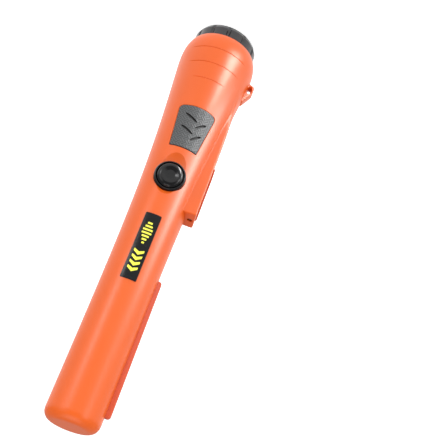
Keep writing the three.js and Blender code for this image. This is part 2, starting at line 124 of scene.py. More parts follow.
class ProbeColours(bpy.types.PropertyGroup):
    """Colours of the finished pieces, in linear light."""

    casing: tint("Casing", "Satin orange of the mouldings", 0.74, 0.108, 0.007)
    # The blade's deeper orange is painted shade: a darker copy of the casing's orange that stands for its side face
    # turned from the light.
    blade: tint("Blade", "Deeper orange of the scraper blade", 0.62, 0.07, 0.012)
    pad: tint("Pad", "Dark grey of the thumb pad", 0.05, 0.053, 0.055)
    film: tint("Label film", "Black of the label's film", 0.008, 0.009, 0.01)
    button: tint("Button", "Black of the button and its ring", 0.003, 0.003, 0.0035)
    cap: tint("Cap", "Charcoal of the battery cap", 0.014, 0.015, 0.017)
    mark: tint("Marks", "Yellow of the label's marks", 0.93, 0.9, 0.06)


def sizes():
    """The sizes in use."""
    return bpy.context.scene.probe_sizes


def colours():
    """The colours in use."""
    return bpy.context.scene.probe_colours


# ---------------------------------------------------------------- casing form
def casing_radius(z):
    """The casing's outer radius at a height: slim tip, long flare, and a shoulder turned in at the rim."""
    s = sizes()
    flare = s.flare * math.exp(-(((z - s.flare_start) / s.flare_length) ** 2))
    turn_in = s.shoulder * max(0.0, (s.shoulder_height - z) / (s.shoulder_height - RIM_Z)) ** 5
    return s.tip_radius + flare - turn_in


def on_front(across, z, level, turn=0.0):
    """A point on the casing's front: across is measured round the surface towards the keel."""
    radius = casing_radius(z)
    angle = turn + across / radius
    reach = radius + level
    return Vector((-reach * math.sin(angle), -reach * math.cos(angle), z))


def button_frame():
    """The button's own frame: its origin is on the casing's front, and its Z axis points out of the face."""
    place = Matrix.Translation((0, -casing_radius(BUTTON_Z), BUTTON_Z))
    return place @ Matrix.Rotation(math.pi / 2 - sizes().button_lean, 4, "X")


def smooth_min(a, b, blend):
    """The smaller of two numbers, rounded where they cross."""
    mix = min(1.0, max(0.0, 0.5 + 0.5 * (b - a) / blend))
    return b * (1 - mix) + a * mix - blend * mix * (1 - mix)


def smooth_max(a, b, blend):
    """The larger of two numbers, rounded where they cross."""
    return -smooth_min(-a, -b, blend)


def smooth_step(low_end, high_end, value):
    """0 below the low end, 1 above the high end, and an S-curve between."""
    t = min(1.0, max(0.0, (value - low_end) / (high_end - low_end)))
    return t * t * (3 - 2 * t)


# ---------------------------------------------------------------- meshes
def outward(mesh):
    """Merges the vertices that neighbouring stretches share, and turns a closed mesh's faces outwards."""
    edit = bmesh.new()
    edit.from_mesh(mesh)
    bmesh.ops.remove_doubles(edit, verts=edit.verts, dist=1e-6)
    bmesh.ops.recalc_face_normals(edit, faces=edit.faces)
    edit.to_mesh(mesh)
    edit.free()


def finish_mesh(mesh, sharp=35):
    """Smooth shading, with edges sharper than an angle in degrees kept crisp."""
    mesh.shade_smooth()
    mesh.set_sharp_from_angle(angle=math.radians(sharp))


def piece(name, shape, material, sharp=35, place=None):
    """A new object from (vertices, faces), with its place in its mesh."""
    vertices, faces = shape
    mesh = bpy.data.meshes.new(name)
    mesh.from_pydata([tuple(v) for v in vertices], [], faces)
    if place:
        mesh.transform(place)
    outward(mesh)
    mesh.materials.append(material)
    finish_mesh(mesh, sharp)
    obj = bpy.data.objects.new(name, mesh)
    bpy.context.scene.collection.objects.link(obj)
    return obj


def bake(obj, sharp=35):
    """Turns an object's modifiers into plain mesh."""
    evaluated = obj.evaluated_get(bpy.context.evaluated_depsgraph_get())
    mesh = bpy.data.meshes.new_from_object(evaluated)
    obj.modifiers.clear()
    obj.data = mesh
    finish_mesh(mesh, sharp)
    return obj


def combine(obj, others, operation, sharp=35):
    """Cuts the others out of obj, or joins them to it, and removes them."""
    for other in others:
        modifier = obj.modifiers.new("combine", "BOOLEAN")
        modifier.operation = operation
        modifier.object = other
        modifier.solver = "EXACT"
        modifier.material_mode = "TRANSFER"
    bake(obj, sharp)
    for other in others:
        bpy.data.objects.remove(other)
    return obj


def soften(obj, width, segments=3, sharp=35):
    """Rounds an object's edges."""
    modifier = obj.modifiers.new("round", "BEVEL")
    modifier.width = width
    modifier.segments = segments
    modifier.limit_method = "ANGLE"
    modifier.angle_limit = math.radians(30)
    return bake(obj, sharp)


def filleted(corners, steps=5, closed=False):
    """A profile through (radius, height, fillet) corners in millimetres, each turned by an arc, in metres."""
    points = []
    count = len(corners)
    for k, (x, y, fillet) in enumerate(corners):
        here = Vector((x, y))
        if fillet == 0 or (not closed and k in (0, count - 1)):
            points.append(here * MM)
            continue
        before = Vector(corners[k - 1][:2]) - here
        after = Vector(corners[(k + 1) % count][:2]) - here
        half = before.angle(after) / 2
        reach = min(fillet / math.tan(half), before.length * 0.49, after.length * 0.49)
        radius = reach * math.tan(half)
        centre = here + (before.normalized() + after.normalized()).normalized() * (radius / math.sin(half))
        start = here + before.normalized() * reach - centre
        end = here + after.normalized() * reach - centre
        first = math.atan2(start.y, start.x)
        sweep = (math.atan2(end.y, end.x) - first + math.pi) % (2 * math.pi) - math.pi
        for step in range(steps + 1):
            angle = first + sweep * step / steps
            points.append((centre + radius * Vector((math.cos(angle), math.sin(angle)))) * MM)
    return points


def even_angles(sides):
    """Directions evenly round a circle."""
    return [2 * math.pi * i / sides for i in range(sides)]


def turned(profile, sides=64, closed=False, angles=None, radius_at=None):
    """A profile turned about Z. It runs up the outside. radius_at(radius, height, angle) may carve it."""
    angles = angles or even_angles(sides)
    vertices, rows = [], []
    for radius, z in profile:
        start = len(vertices)
        if radius < 1e-7:
            vertices.append((0, 0, z))
            rows.append([start] * len(angles))
            continue
        for angle in angles:
            r = radius_at(radius, z, angle) if radius_at else radius
            vertices.append((r * math.cos(angle), r * math.sin(angle), z))
        rows.append(list(range(start, start + len(angles))))
    faces = []
    for below, above in zip(rows, rows[1:] + (rows[:1] if closed else [])):
        for i in range(len(angles)):
            j = (i + 1) % len(angles)
            corners = (below[i], below[j], above[j], above[i])
            face = tuple(dict.fromkeys(corners))
            if len(face) > 2:
                faces.append(face)
    return vertices, faces


def sheet_faces(rows, columns, start=0, flip=False):
    """The faces of a grid of vertices, rows by columns."""
    faces = []
    for r in range(rows - 1):
        for c in range(columns - 1):
            a = start + r * columns + c
            face = (a, a + 1, a + columns + 1, a + columns)
            faces.append(tuple(reversed(face)) if flip else face)
    return faces


def outline_shell(outline, place, levels, rings=6):
    """A closed patch on the casing's front. outline is a loop of (across, height) points about (0, 0).

    levels is a list of (scale outwards, level), from the back edge to the front edge. The back and the front
    faces are filled by shrinking the outline towards its middle. place(across, height, level) gives a point.
    """
    vertices, loops = [], []
    fills = [1 - k / rings for k in range(rings)]
    steps = [(f, *levels[0]) for f in reversed(fills)]
    steps += [(1, *level) for level in levels[1:-1]]
    steps += [(f, *levels[-1]) for f in fills]
    for shrink, grow, level in steps:
        loops.append(list(range(len(vertices), len(vertices) + len(outline))))
        for point in outline:
            out = Vector(point)
            out = out + out.normalized() * grow
            vertices.append(place(out.x * shrink, out.y * shrink, level))
    count = len(outline)
    faces = []
    for below, above in zip(loops, loops[1:]):
        for i in range(count):
            j = (i + 1) % count
            faces.append((below[i], below[j], above[j], above[i]))
    for loop, grow_level, back in ((loops[0], levels[0], True), (loops[-1], levels[-1], False)):
        pole = len(vertices)
        vertices.append(place(0, 0, grow_level[1]))
        for i in range(count):
            j = (i + 1) % count
            faces.append((pole, loop[j], loop[i]) if back else (loop[i], loop[j], pole))
    return vertices, faces


def rounded_loop(corners, steps=6, spacing=0.5):
    """A closed loop of points in metres through (x, y, fillet) corners in millimetres, evenly spaced."""
    arcs = filleted(corners, steps, closed=True)
    points = []
    for here, following in zip(arcs, arcs[1:] + arcs[:1]):
        pieces = max(1, round((following - here).length / (spacing * MM)))
        points += [here.lerp(following, k / pieces) for k in range(pieces)]
    return points


def prism(outline, depth, place=None):
    """An outline of (x, y) points extruded by a depth along Z, centred."""
    count = len(outline)
    vertices = [Vector((x, y, side * depth / 2)) for side in (-1, 1) for x, y in outline]
    if place:
        vertices = [place @ v for v in vertices]
    faces = [(i, (i + 1) % count, count + (i + 1) % count, count + i) for i in range(count)]
    faces += [tuple(reversed(range(count))), tuple(range(count, 2 * count))]
    return vertices, faces


def swept(path, section, scale=None):
    """A closed tube: the section's (x, y) points carried along a path. scale(t) narrows it, t from 0 to 1."""
    vertices, count = [], len(section)
    side = None
    for k, point in enumerate(path):
        ahead = path[min(k + 1, len(path) - 1)] - path[max(k - 1, 0)]
        ahead.normalize()
        if side is None:
            side = ahead.orthogonal().normalized()
        side = (side - ahead * side.dot(ahead)).normalized()
        up = ahead.cross(side)
        size = scale(k / (len(path) - 1)) if scale else 1
        vertices += [point + side * (x * size) + up * (y * size) for x, y in section]
    faces = []
    for k in range(len(path) - 1):
        for i in range(count):
            j = (i + 1) % count
            a, b = k * count, (k + 1) * count
            faces.append((a + i, a + j, b + j, b + i))
    faces += [tuple(reversed(range(count))), tuple(range(len(vertices) - count, len(vertices)))]
    return vertices, faces


def bar_faces(rings):
    """The faces of a closed bar with four vertices in each ring."""
    faces = []
    for k in range(rings - 1):
        a, b = 4 * k, 4 * (k + 1)
        for i in range(4):
            j = (i + 1) % 4
            faces.append((a + j, a + i, b + i, b + j))
    return faces + [(0, 1, 2, 3), tuple(reversed(range(4 * rings - 4, 4 * rings)))]


def round_section(radius, sides):
    """The points of a circle."""
    return [(radius * math.cos(a), radius * math.sin(a)) for a in even_angles(sides)]


# ---------------------------------------------------------------- node trees
FLOAT, WHOLE, VECTOR, COLOUR = "NodeSocketFloat", "NodeSocketInt", "NodeSocketVector", "NodeSocketColor"
SHAPE, OBJECT, MATERIAL = "NodeSocketGeometry", "NodeSocketObject", "NodeSocketMaterial"


class Nodes:
    """A node tree written as calls."""

    def node(self, kind, settings=None, **sockets):
        """A new node. settings are its properties. sockets are its inputs, by name, or by number written _0."""
        node = self.tree.nodes.new(kind)
        for key, value in (settings or {}).items():
            setattr(node, key, value)
        for key, value in sockets.items():
            self.feed(node.inputs[int(key[1:]) if key[1:].isdigit() else key.replace("_", " ")], value)
        return node

    def feed(self, socket, value):
        """Links a socket, or sets its value."""
        if isinstance(value, bpy.types.NodeSocket):
            self.tree.links.new(value, socket)
        elif isinstance(value, bpy.types.Node):
            self.tree.links.new(value.outputs[0], socket)
        else:
            socket.default_value = value

    def maths(self, operation, a, b=0.0):
        """A Math node's result."""
        return self.node("ShaderNodeMath", {"operation": operation}, _0=a, _1=b).outputs[0]

    def mix(self, factor, a, b):
        """The blend of two colours."""
        node = self.node("ShaderNodeMix", {"data_type": "RGBA"}, _0=factor, _6=a, _7=b)
        return node.outputs[2]

    def given(self, label):
        """The output socket of a named input."""
        return self.start.outputs[label]


class Tree(Nodes):
    """A Geometry Nodes tree with named inputs, which ends in Realize Instances and Set Material."""

    def __init__(self, name, inputs):
        self.tree = bpy.data.node_groups.new(name, "GeometryNodeTree")
        self.tree.interface.new_socket("Geometry", in_out="INPUT", socket_type=SHAPE)
        self.tree.interface.new_socket("Geometry", in_out="OUTPUT", socket_type=SHAPE)
        for label, kind in [*inputs, ("Material", MATERIAL)]:
            self.tree.interface.new_socket(label, in_out="INPUT", socket_type=kind)
        self.start = self.tree.nodes.new("NodeGroupInput")

    def end(self, geometry):
        """Closes the tree."""
        real = self.node("GeometryNodeRealizeInstances", Geometry=geometry)
        painted = self.node("GeometryNodeSetMaterial", Geometry=real, Material=self.given("Material"))
        self.tree.links.new(painted.outputs[0], self.tree.nodes.new("NodeGroupOutput").inputs[0])
        return self.tree


def grown(name, tree, material, sharp=35, **values):
    """A plain mesh object from a Geometry Nodes tree. values are its inputs, spaces written as underscores."""
    obj = bpy.data.objects.new(name, bpy.data.meshes.new(name))
    bpy.context.scene.collection.objects.link(obj)
    modifier = obj.modifiers.new("nodes", "NODES")
    modifier.node_group = tree
    values["Material"] = material
    for item in tree.interface.items_tree:
        if item.in_out == "INPUT" and item.name.replace(" ", "_") in values:
            value = values[item.name.replace(" ", "_")]
            modifier[item.identifier] = list(value) if isinstance(value, (Vector, tuple)) else value
    return bake(obj, sharp)


def casing_skin_tree():
    """The casing's outer skin from its rim to its fillet, from the rule that gives its radius."""
    labels = ("Tip radius", "Flare", "Flare start", "Flare length", "Shoulder", "Shoulder height", "Rim", "Top")
    t = Tree("Casing skin", [*((label, FLOAT) for label in labels), ("Columns", WHOLE), ("Rows", WHOLE)])
    columns = t.maths("ADD", t.given("Columns"), 1)
    grid = t.node("GeometryNodeMeshGrid", Vertices_X=columns, Vertices_Y=t.given("Rows"))
    place = t.node("ShaderNodeSeparateXYZ", Vector=t.node("GeometryNodeInputPosition"))
    angle = t.maths("MULTIPLY", t.maths("ADD", place.outputs["X"], 0.5), 2 * math.pi)
    length = t.maths("SUBTRACT", t.given("Top"), t.given("Rim"))
    rise = t.maths("MULTIPLY", t.maths("ADD", place.outputs["Y"], 0.5), length)
    z = t.maths("ADD", rise, t.given("Rim"))
    along = t.maths("DIVIDE", t.maths("SUBTRACT", z, t.given("Flare start")), t.given("Flare length"))
    fade = t.maths("EXPONENT", t.maths("MULTIPLY", t.maths("MULTIPLY", along, along), -1))
    flare = t.maths("MULTIPLY", t.given("Flare"), fade)
    span = t.maths("SUBTRACT", t.given("Shoulder height"), t.given("Rim"))
    share = t.maths("DIVIDE", t.maths("SUBTRACT", t.given("Shoulder height"), z), span)
    turn_in = t.maths("MULTIPLY", t.given("Shoulder"), t.maths("POWER", t.maths("MAXIMUM", share, 0), 5))
    radius = t.maths("SUBTRACT", t.maths("ADD", t.given("Tip radius"), flare), turn_in)
    x = t.maths("MULTIPLY", radius, t.maths("COSINE", angle))
    y = t.maths("MULTIPLY", radius, t.maths("SINE", angle))
    point = t.node("ShaderNodeCombineXYZ", X=x, Y=y, Z=z)
    skin = t.node("GeometryNodeSetPosition", Geometry=grid, Position=point)
    closed = t.node("GeometryNodeMergeByDistance", Geometry=skin, Distance=1e-6)
    return t.end(closed)


def row_tree():
    """Copies of a small piece along a straight line."""
    t = Tree("Row of copies", [("Piece", OBJECT), ("Count", WHOLE), ("Start", VECTOR), ("Step", VECTOR)])
    line = t.node("GeometryNodeMeshLine", Count=t.given("Count"), Start_Location=t.given("Start"),
                  Offset=t.given("Step"))
    model = t.node("GeometryNodeObjectInfo", Object=t.given("Piece"), As_Instance=True)
    copies = t.node("GeometryNodeInstanceOnPoints", Points=line, Instance=model.outputs["Geometry"])
    return t.end(copies)


def winding_tree():
    """A close winding of wire about Z. Steps is the number of points in each turn."""
    inputs = [("Turns", FLOAT), ("Radius", FLOAT), ("Length", FLOAT), ("Wire", FLOAT), ("Foot", FLOAT),
              ("Steps", WHOLE)]
    t = Tree("Wire winding", inputs)
    spiral = t.node("GeometryNodeCurveSpiral", Resolution=t.given("Steps"), Rotations=t.given("Turns"),
                    Start_Radius=t.given("Radius"), End_Radius=t.given("Radius"), Height=t.given("Length"))
    lift = t.node("ShaderNodeCombineXYZ", Z=t.given("Foot"))
    raised = t.node("GeometryNodeTransform", Geometry=spiral, Translation=lift)
    section = t.node("GeometryNodeCurvePrimitiveCircle", Resolution=6, Radius=t.given("Wire"))
    tube = t.node("GeometryNodeCurveToMesh", Curve=raised, Profile_Curve=section.outputs["Curve"],
                  Fill_Caps=True)
    return t.end(tube)


def copies_in_row(name, model, count, start, step, material):
    """A row of copies of a model object, which is then removed."""
    obj = grown(name, trees()["row"], material, Piece=model, Count=count, Start=Vector(start),
                Step=Vector(step))
    bpy.data.objects.remove(model)
    return obj


def merged(name, parts):
    """Several plain mesh objects as one."""
    vertices, faces, marks = [], [], []
    materials = []
    for part in parts:
        offset = len(vertices)
        vertices += [v.co.copy() for v in part.data.vertices]
        for material in part.data.materials:
            if material not in materials:
                materials.append(material)
        for face in part.data.polygons:
            faces.append([offset + v for v in face.vertices])
            marks.append(materials.index(part.data.materials[face.material_index]))
    mesh = bpy.data.meshes.new(name)
    mesh.from_pydata(vertices, [], faces)
    for material in materials:
        mesh.materials.append(material)
    mesh.polygons.foreach_set("material_index", marks)
    finish_mesh(mesh)
    for part in parts:
        bpy.data.objects.remove(part)
    obj = bpy.data.objects.new(name, mesh)
    bpy.context.scene.collection.objects.link(obj)
    return obj


_made = {}


def trees():
    """The Geometry Nodes trees, built once."""
    if "trees" not in _made:
        _made["trees"] = {"skin": casing_skin_tree(), "row": row_tree(), "winding": winding_tree()}
    return _made["trees"]


# ---------------------------------------------------------------- shader node groups
class Group(Nodes):
    """A shader node group with named inputs and outputs, fed with a vector."""

    def __init__(self, name, inputs, outputs):
        self.tree = bpy.data.node_groups.new(name, "ShaderNodeTree")
        for label, kind, default in [("Vector", VECTOR, None), *inputs]:
            socket = self.tree.interface.new_socket(label, in_out="INPUT", socket_type=kind)
            if default is not None:
                socket.default_value = default
        for label, kind in outputs:
            self.tree.interface.new_socket(label, in_out="OUTPUT", socket_type=kind)
        self.start = self.tree.nodes.new("NodeGroupInput")
        self.finish = self.tree.nodes.new("NodeGroupOutput")

    def give(self, label, value):
        """Links a value to a named output."""
        self.tree.links.new(value, self.finish.inputs[label])

    def noise(self, scale, detail, **more):
        """Noise on the group's vector."""
        noise = self.node("ShaderNodeTexNoise", Vector=self.given("Vector"), Scale=scale, Detail=detail, **more)
        return noise.outputs[0]

    def toned(self, value):
        """Gives the group's colour, its value multiplied."""
        tone = self.node("ShaderNodeHueSaturation", Value=value, Color=self.given("Colour"))
        self.give("Colour", tone.outputs[0])

    def bumped(self, height):
        """Gives the normal of a height field."""
        bump = self.node("ShaderNodeBump", Strength=1.0, Distance=self.given("Depth"), Height=height)
        self.give("Normal", bump.outputs[0])


def grain_group():
    """Moulded plastic or rubber: soft tonal drift, uneven gloss and a fine pebbled surface."""
    g = Group(
        "Moulded grain",
        [("Colour", COLOUR, None), ("Drift", FLOAT, 0.08), ("Grain", FLOAT, 4000.0),
         ("Depth", FLOAT, 0.00002), ("Roughness", FLOAT, 0.4), ("Patchiness", FLOAT, 0.06)],
        [("Colour", COLOUR), ("Roughness", FLOAT), ("Normal", VECTOR)],
    )
    lift = g.maths("MULTIPLY", g.maths("SUBTRACT", g.noise(55.0, 3.0), 0.5), g.given("Drift"))
    g.toned(g.maths("ADD", lift, 1.0))
    uneven = g.maths("MULTIPLY", g.maths("SUBTRACT", g.noise(260.0, 4.0), 0.5), g.given("Patchiness"))
    g.give("Roughness", g.maths("ADD", g.given("Roughness"), uneven))
    g.bumped(g.noise(g.given("Grain"), 2.0))
    return g.tree


def wear_group():
    """Edges rubbed lighter and duller, broken up by noise."""
    g = Group(
        "Edge wear",
        [("Colour", COLOUR, None), ("Worn", COLOUR, None), ("Amount", FLOAT, 0.3)],
        [("Colour", COLOUR)],
    )
    point = g.node("ShaderNodeNewGeometry")
    edge = g.node("ShaderNodeMapRange", Value=point.outputs["Pointiness"], From_Min=0.53, From_Max=0.62)
    broken = g.maths("MULTIPLY", edge.outputs[0], g.noise(420.0, 5.0))
    mask = g.maths("MULTIPLY", broken, g.given("Amount"))
    g.give("Colour", g.mix(mask, g.given("Colour"), g.given("Worn")))
    return g.tree


def weave_group():
    """A fine diagonal weave: raised threads crossing over and under, with painted highlight on their crowns and
    painted shade between them.
    """
    g = Group(
        "Weave",
        [("Colour", COLOUR, None), ("Pitch", FLOAT, 0.001), ("Depth", FLOAT, 0.0001)],
        [("Colour", COLOUR), ("Normal", VECTOR)],
    )
    place = g.node("ShaderNodeSeparateXYZ", Vector=g.given("Vector"))
    across, along = place.outputs["X"], place.outputs["Z"]
    turn = g.maths("DIVIDE", 2 * math.pi, g.given("Pitch"))
    one = g.maths("MULTIPLY", g.maths("ADD", across, along), turn)
    two = g.maths("MULTIPLY", g.maths("SUBTRACT", across, along), turn)
    warp = g.maths("ABSOLUTE", g.maths("SINE", one))
    weft = g.maths("ABSOLUTE", g.maths("SINE", two))
    over = g.maths("GREATER_THAN", g.maths("MULTIPLY", g.maths("SINE", g.maths("MULTIPLY", one, 0.5)),
                                           g.maths("SINE", g.maths("MULTIPLY", two, 0.5))), 0.0)
    under = g.maths("SUBTRACT", 1.0, over)
    height = g.maths("ADD", g.maths("MULTIPLY", warp, over), g.maths("MULTIPLY", weft, under))
    g.bumped(height)
    # The colour follows the threads' height: painted shade in the hollows and painted highlight on the crowns.
    g.toned(g.maths("ADD", g.maths("MULTIPLY", height, 1.1), 0.35))
    return g.tree


def smudge_group():
    """Gloss that handling has dulled in faint smears."""
    g = Group(
        "Handling smears",
        [("Roughness", FLOAT, 0.1), ("Amount", FLOAT, 0.08), ("Scale", FLOAT, 120.0)],
        [("Roughness", FLOAT)],
    )
    noise = g.noise(g.given("Scale"), 6.0, Distortion=1.5)
    smear = g.node("ShaderNodeMapRange", Value=noise, From_Min=0.45, From_Max=0.75)
    dulled = g.maths("MULTIPLY", smear.outputs[0], g.given("Amount"))
    g.give("Roughness", g.maths("ADD", g.given("Roughness"), dulled))
    return g.tree


def brushed_group():
    """Rolled or drawn metal: fine lines one way, with a faint stain."""
    g = Group(
        "Drawn metal",
        [("Colour", COLOUR, None), ("Stretch", VECTOR, (2000.0, 2000.0, 60.0)),
         ("Roughness", FLOAT, 0.3), ("Depth", FLOAT, 0.000005)],
        [("Colour", COLOUR), ("Roughness", FLOAT), ("Normal", VECTOR)],
    )
    pulled = g.node("ShaderNodeVectorMath", {"operation": "MULTIPLY"}, _0=g.given("Vector"),
                    _1=g.given("Stretch"))
    lines = g.node("ShaderNodeTexNoise", Vector=pulled.outputs[0], Scale=1.0, Detail=3.0)
    g.toned(g.maths("ADD", g.maths("MULTIPLY", g.noise(180.0, 3.0), 0.3), 0.85))
    uneven = g.maths("MULTIPLY", g.maths("SUBTRACT", lines.outputs[0], 0.5), 0.25)
    g.give("Roughness", g.maths("ADD", g.given("Roughness"), uneven))
    g.bumped(lines.outputs[0])
    return g.tree


def groups():
    """The shader node groups, built once."""
    if "groups" not in _made:
        _made["groups"] = {
            "grain": grain_group(), "wear": wear_group(), "weave": weave_group(), "smudge": smudge_group(),
            "brushed": brushed_group(),
        }
    return _made["groups"]


# ---------------------------------------------------------------- materials
class Paint(Nodes):
    """A material with a Principled shader and object coordinates."""

    def __init__(self, name):
        self.material = bpy.data.materials.new(name)
        self.material.use_nodes = True
        self.tree = self.material.node_tree
        self.shader = self.tree.nodes["Principled BSDF"]
        self.place = self.tree.nodes.new("ShaderNodeTexCoord").outputs["Object"]

    def group(self, name, **sockets):
        """A shader group, fed with object coordinates and the given values."""
        node = self.tree.nodes.new("ShaderNodeGroup")
        node.node_tree = groups()[name]
        for key, value in {"Vector": self.place, **sockets}.items():
            self.feed(node.inputs[key.replace("_", " ")], value)
        return node

    def set(self, **sockets):
        """Sets the shader's sockets, spaces written as underscores."""
        for key, value in sockets.items():
            self.feed(self.shader.inputs[key.replace("_", " ")], value)


def moulded(name, colour, roughness=0.4, grain=4000.0, depth=0.00002, drift=0.08, wear=0.25, worn=None,
            **more):
    """Moulded plastic or rubber."""
    p = Paint(name)
    grain_node = p.group("grain", Colour=colour, Drift=drift, Grain=grain, Depth=depth, Roughness=roughness)
    lighter = worn or tuple(min(1.0, c * 1.5 + 0.05) for c in colour[:3]) + (1,)
    edge = p.group("wear", Colour=grain_node.outputs["Colour"], Worn=lighter, Amount=wear)
    p.set(Base_Color=edge.outputs["Colour"], Roughness=grain_node.outputs["Roughness"],
          Normal=grain_node.outputs["Normal"], **more)
    return p.material


def glossy(name, colour, roughness=0.08, smear=0.08, **more):
    """Polished plastic with faint handling smears."""
    p = Paint(name)
    grain_node = p.group("grain", Colour=colour, Drift=0.2, Grain=900.0, Depth=0.000004, Roughness=roughness)
    smears = p.group("smudge", Roughness=grain_node.outputs["Roughness"], Amount=smear)
    p.set(Base_Color=grain_node.outputs["Colour"], Roughness=smears.outputs["Roughness"],
          Normal=grain_node.outputs["Normal"], **more)
    return p.material


def metal(name, colour, roughness=0.3, stretch=(2000.0, 2000.0, 60.0)):
    """Drawn, rolled or plated metal."""
    p = Paint(name)
    drawn = p.group("brushed", Colour=colour, Roughness=roughness, Stretch=stretch)
    p.set(Base_Color=drawn.outputs["Colour"], Roughness=drawn.outputs["Roughness"],
          Normal=drawn.outputs["Normal"], Metallic=1.0)
    return p.material


def pad_material():
    """Dark rubber with a fine woven texture."""
    p = Paint("pad_rubber")
    # The pad's weave colour carries painted shade between the threads and painted highlight on their crowns.
    weave = p.group("weave", Colour=tuple(colours().pad), Pitch=0.0032, Depth=0.0001)
    grain_node = p.group("grain", Colour=weave.outputs["Colour"], Drift=0.3, Grain=5000.0, Roughness=0.55)
    p.set(Base_Color=grain_node.outputs["Colour"], Roughness=grain_node.outputs["Roughness"],
          Normal=weave.outputs["Normal"])
    return p.material


def clear_material(name, tint):
    """Clear resin."""
    p = Paint(name)
    smears = p.group("smudge", Roughness=0.05, Amount=0.1, Scale=400.0)
    p.set(Base_Color=tint, Roughness=smears.outputs["Roughness"], Transmission_Weight=0.9, IOR=1.5)
    return p.material


def board_material():
    """Green glass-fibre laminate: a faint cloth pattern under the lacquer, with tracks showing through."""
    p = Paint("board_laminate")
    # The cloth's tone carries the weave's painted shade between the threads and painted highlight on their crowns.
    cloth = p.group("weave", Colour=(0.008, 0.095, 0.045, 1), Pitch=0.0009, Depth=0.00001)
    flat = p.node("ShaderNodeMapping", Vector=p.place, Rotation=(math.pi / 2, 0, 0))
    tracks = p.node("ShaderNodeTexBrick", {"offset": 0.35, "squash": 1.6}, Vector=flat, Scale=90.0,
                    Mortar_Size=0.035, Color1=(0, 0, 0, 1), Color2=(0, 0, 0, 1), Mortar=(1, 1, 1, 1))
    colour = p.mix(tracks.outputs["Color"], cloth.outputs["Colour"], (0.03, 0.2, 0.08, 1))
    p.set(Base_Color=colour, Roughness=0.3, Normal=cloth.outputs["Normal"])
    return p.material


def paints():
    """Every material, built once."""
    if "paints" in _made:
        return _made["paints"]
    c = colours()
    _made["paints"] = {
        "casing": moulded("casing_orange", tuple(c.casing), 0.36, 5200.0, 0.000012, 0.05, 0.12,
                          worn=(0.9, 0.25, 0.1, 1), Specular_IOR_Level=0.36),
        # The blade's darker orange is painted shade of its side face, not a colour of its own.
        "blade": moulded("blade_orange", tuple(c.blade), 0.42, 5200.0, 0.000015, 0.06, 0.2),
        "pad": pad_material(),
        "film": glossy("label_film", tuple(c.film), 0.2, 0.12, Specular_IOR_Level=0.12),
        "mark": moulded("label_yellow", tuple(c.mark), 0.35, 6000.0, 0.000004, 0.05, 0.0),
        "gloss": glossy("button_gloss", tuple(c.button), 0.16, 0.05, Specular_IOR_Level=0.3),
        "cap": glossy("cap_charcoal", tuple(c.cap), 0.12, 0.08),
        "inner": moulded("inner_black", (0.02, 0.02, 0.022, 1), 0.5, 3000.0, 0.00003),
        "natural": moulded("bobbin_natural", (0.72, 0.7, 0.62, 1), 0.45, 3500.0, 0.00002),
        "seal": moulded("seal_rubber", (0.016, 0.016, 0.016, 1), 0.62, 2500.0, 0.00004, 0.2, 0.1),
        "foam": moulded("cell_foam", (0.045, 0.045, 0.048, 1), 0.95, 1100.0, 0.0006, 0.5, 0.1),
        "clear": clear_material("clear_resin", (0.95, 0.97, 1.0, 1)),
        "jacket": metal("battery_jacket", (0.5, 0.5, 0.52, 1), 0.35),
        "jacket_print": glossy("battery_print", (0.03, 0.05, 0.11, 1), 0.28, 0.1, Metallic=0.5),
        "board": board_material(),
        "chip": moulded("chip_resin", (0.018, 0.018, 0.02, 1), 0.6, 3000.0, 0.00002),
        "sleeve": glossy("capacitor_sleeve", (0.012, 0.02, 0.06, 1), 0.25, 0.1),
        "ferrite": moulded("ferrite_grey", (0.035, 0.035, 0.038, 1), 0.7, 2200.0, 0.00006, 0.3, 0.4),
        "copper": metal("copper_wire", (0.78, 0.3, 0.12, 1), 0.28, (300.0, 300.0, 4000.0)),
        "brass": metal("plated_brass", (0.8, 0.58, 0.25, 1), 0.3),
        "steel": metal("plated_steel", (0.62, 0.62, 0.64, 1), 0.28),
        "tin": metal("solder_tin", (0.7, 0.71, 0.72, 1), 0.35),
    }
    return _made["paints"]


def paint_node(node, paint):
    """Gives a frame node its material."""
    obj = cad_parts[node]
    obj.data.materials.clear()
    obj.data.materials.append(paints()[paint])


def settle(obj, body, slot, *nodes):
    """Parents a finished piece to the body it rides on and hides the frame nodes it stands for; slot is not used.
    """
    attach(obj, body)
    if nodes:
        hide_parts(*nodes)
    return obj


# ---------------------------------------------------------------- outside pieces
SCOOP_STRETCH = 1.32
SCOOP_OFFSET = 1.7 * MM
SCOOP_REACH = 9.5 * MM
SCOOP_RISE = 2.5 * MM
PAD_TURN = math.radians(3)
PAD_HALF_TOP = 10.2
PAD_HALF_TIP = 7.3
PAD_DEPTH = 1.0 * MM
# Both ends of each grip slot, as (across, height) in millimetres.
PAD_SLOTS = (((-5.5, 64.3), (1.6, 67.9)), ((-5.2, 71.8), (1.7, 75.1)), ((1.7, 71.2), (6.6, 66.9)),
             ((1.5, 78.7), (6.2, 74.1)))
BORE_RADIUS = 15.15 * MM  # the battery bay
BORE_TOP_Z = 63.5 * MM
COIL_BORE_RADIUS = 10.6 * MM
COIL_BORE_FOOT_Z = 150 * MM
SKIN_ROWS = 236
TIP_STEPS = 10
SEAT_RADIUS = 8.0 * MM  # of the button's ring
BUTTON_HOLE_RADIUS = 6.9 * MM
LEAD_HOLE_Z = 97 * MM
GROOVES = ((21.9, 50), (31.6, 46), (41.6, 30))  # height in millimetres, half the angle in degrees
KEEL_SPREAD = 44  # half the angle that the keel covers, in degrees
RIB_COUNT = 12
RIB_FIRST_Z = 84 * MM
RIB_PITCH = 2.2 * MM


def scoop_frame():
    """The dish round the button, in its own frame."""
    place = Matrix.Translation((0, -casing_radius(BUTTON_Z), BUTTON_Z))
    return place @ Matrix.Rotation(math.pi / 2 - math.radians(2.4), 4, "X")


def scoop_height(x, y):
    """The dish's floor, in metres, at a place in its frame."""
    out = math.hypot(x, (y + SCOOP_OFFSET) / SCOOP_STRETCH)
    return -sizes().scoop_depth + SCOOP_RISE * (out / SCOOP_REACH) ** 4


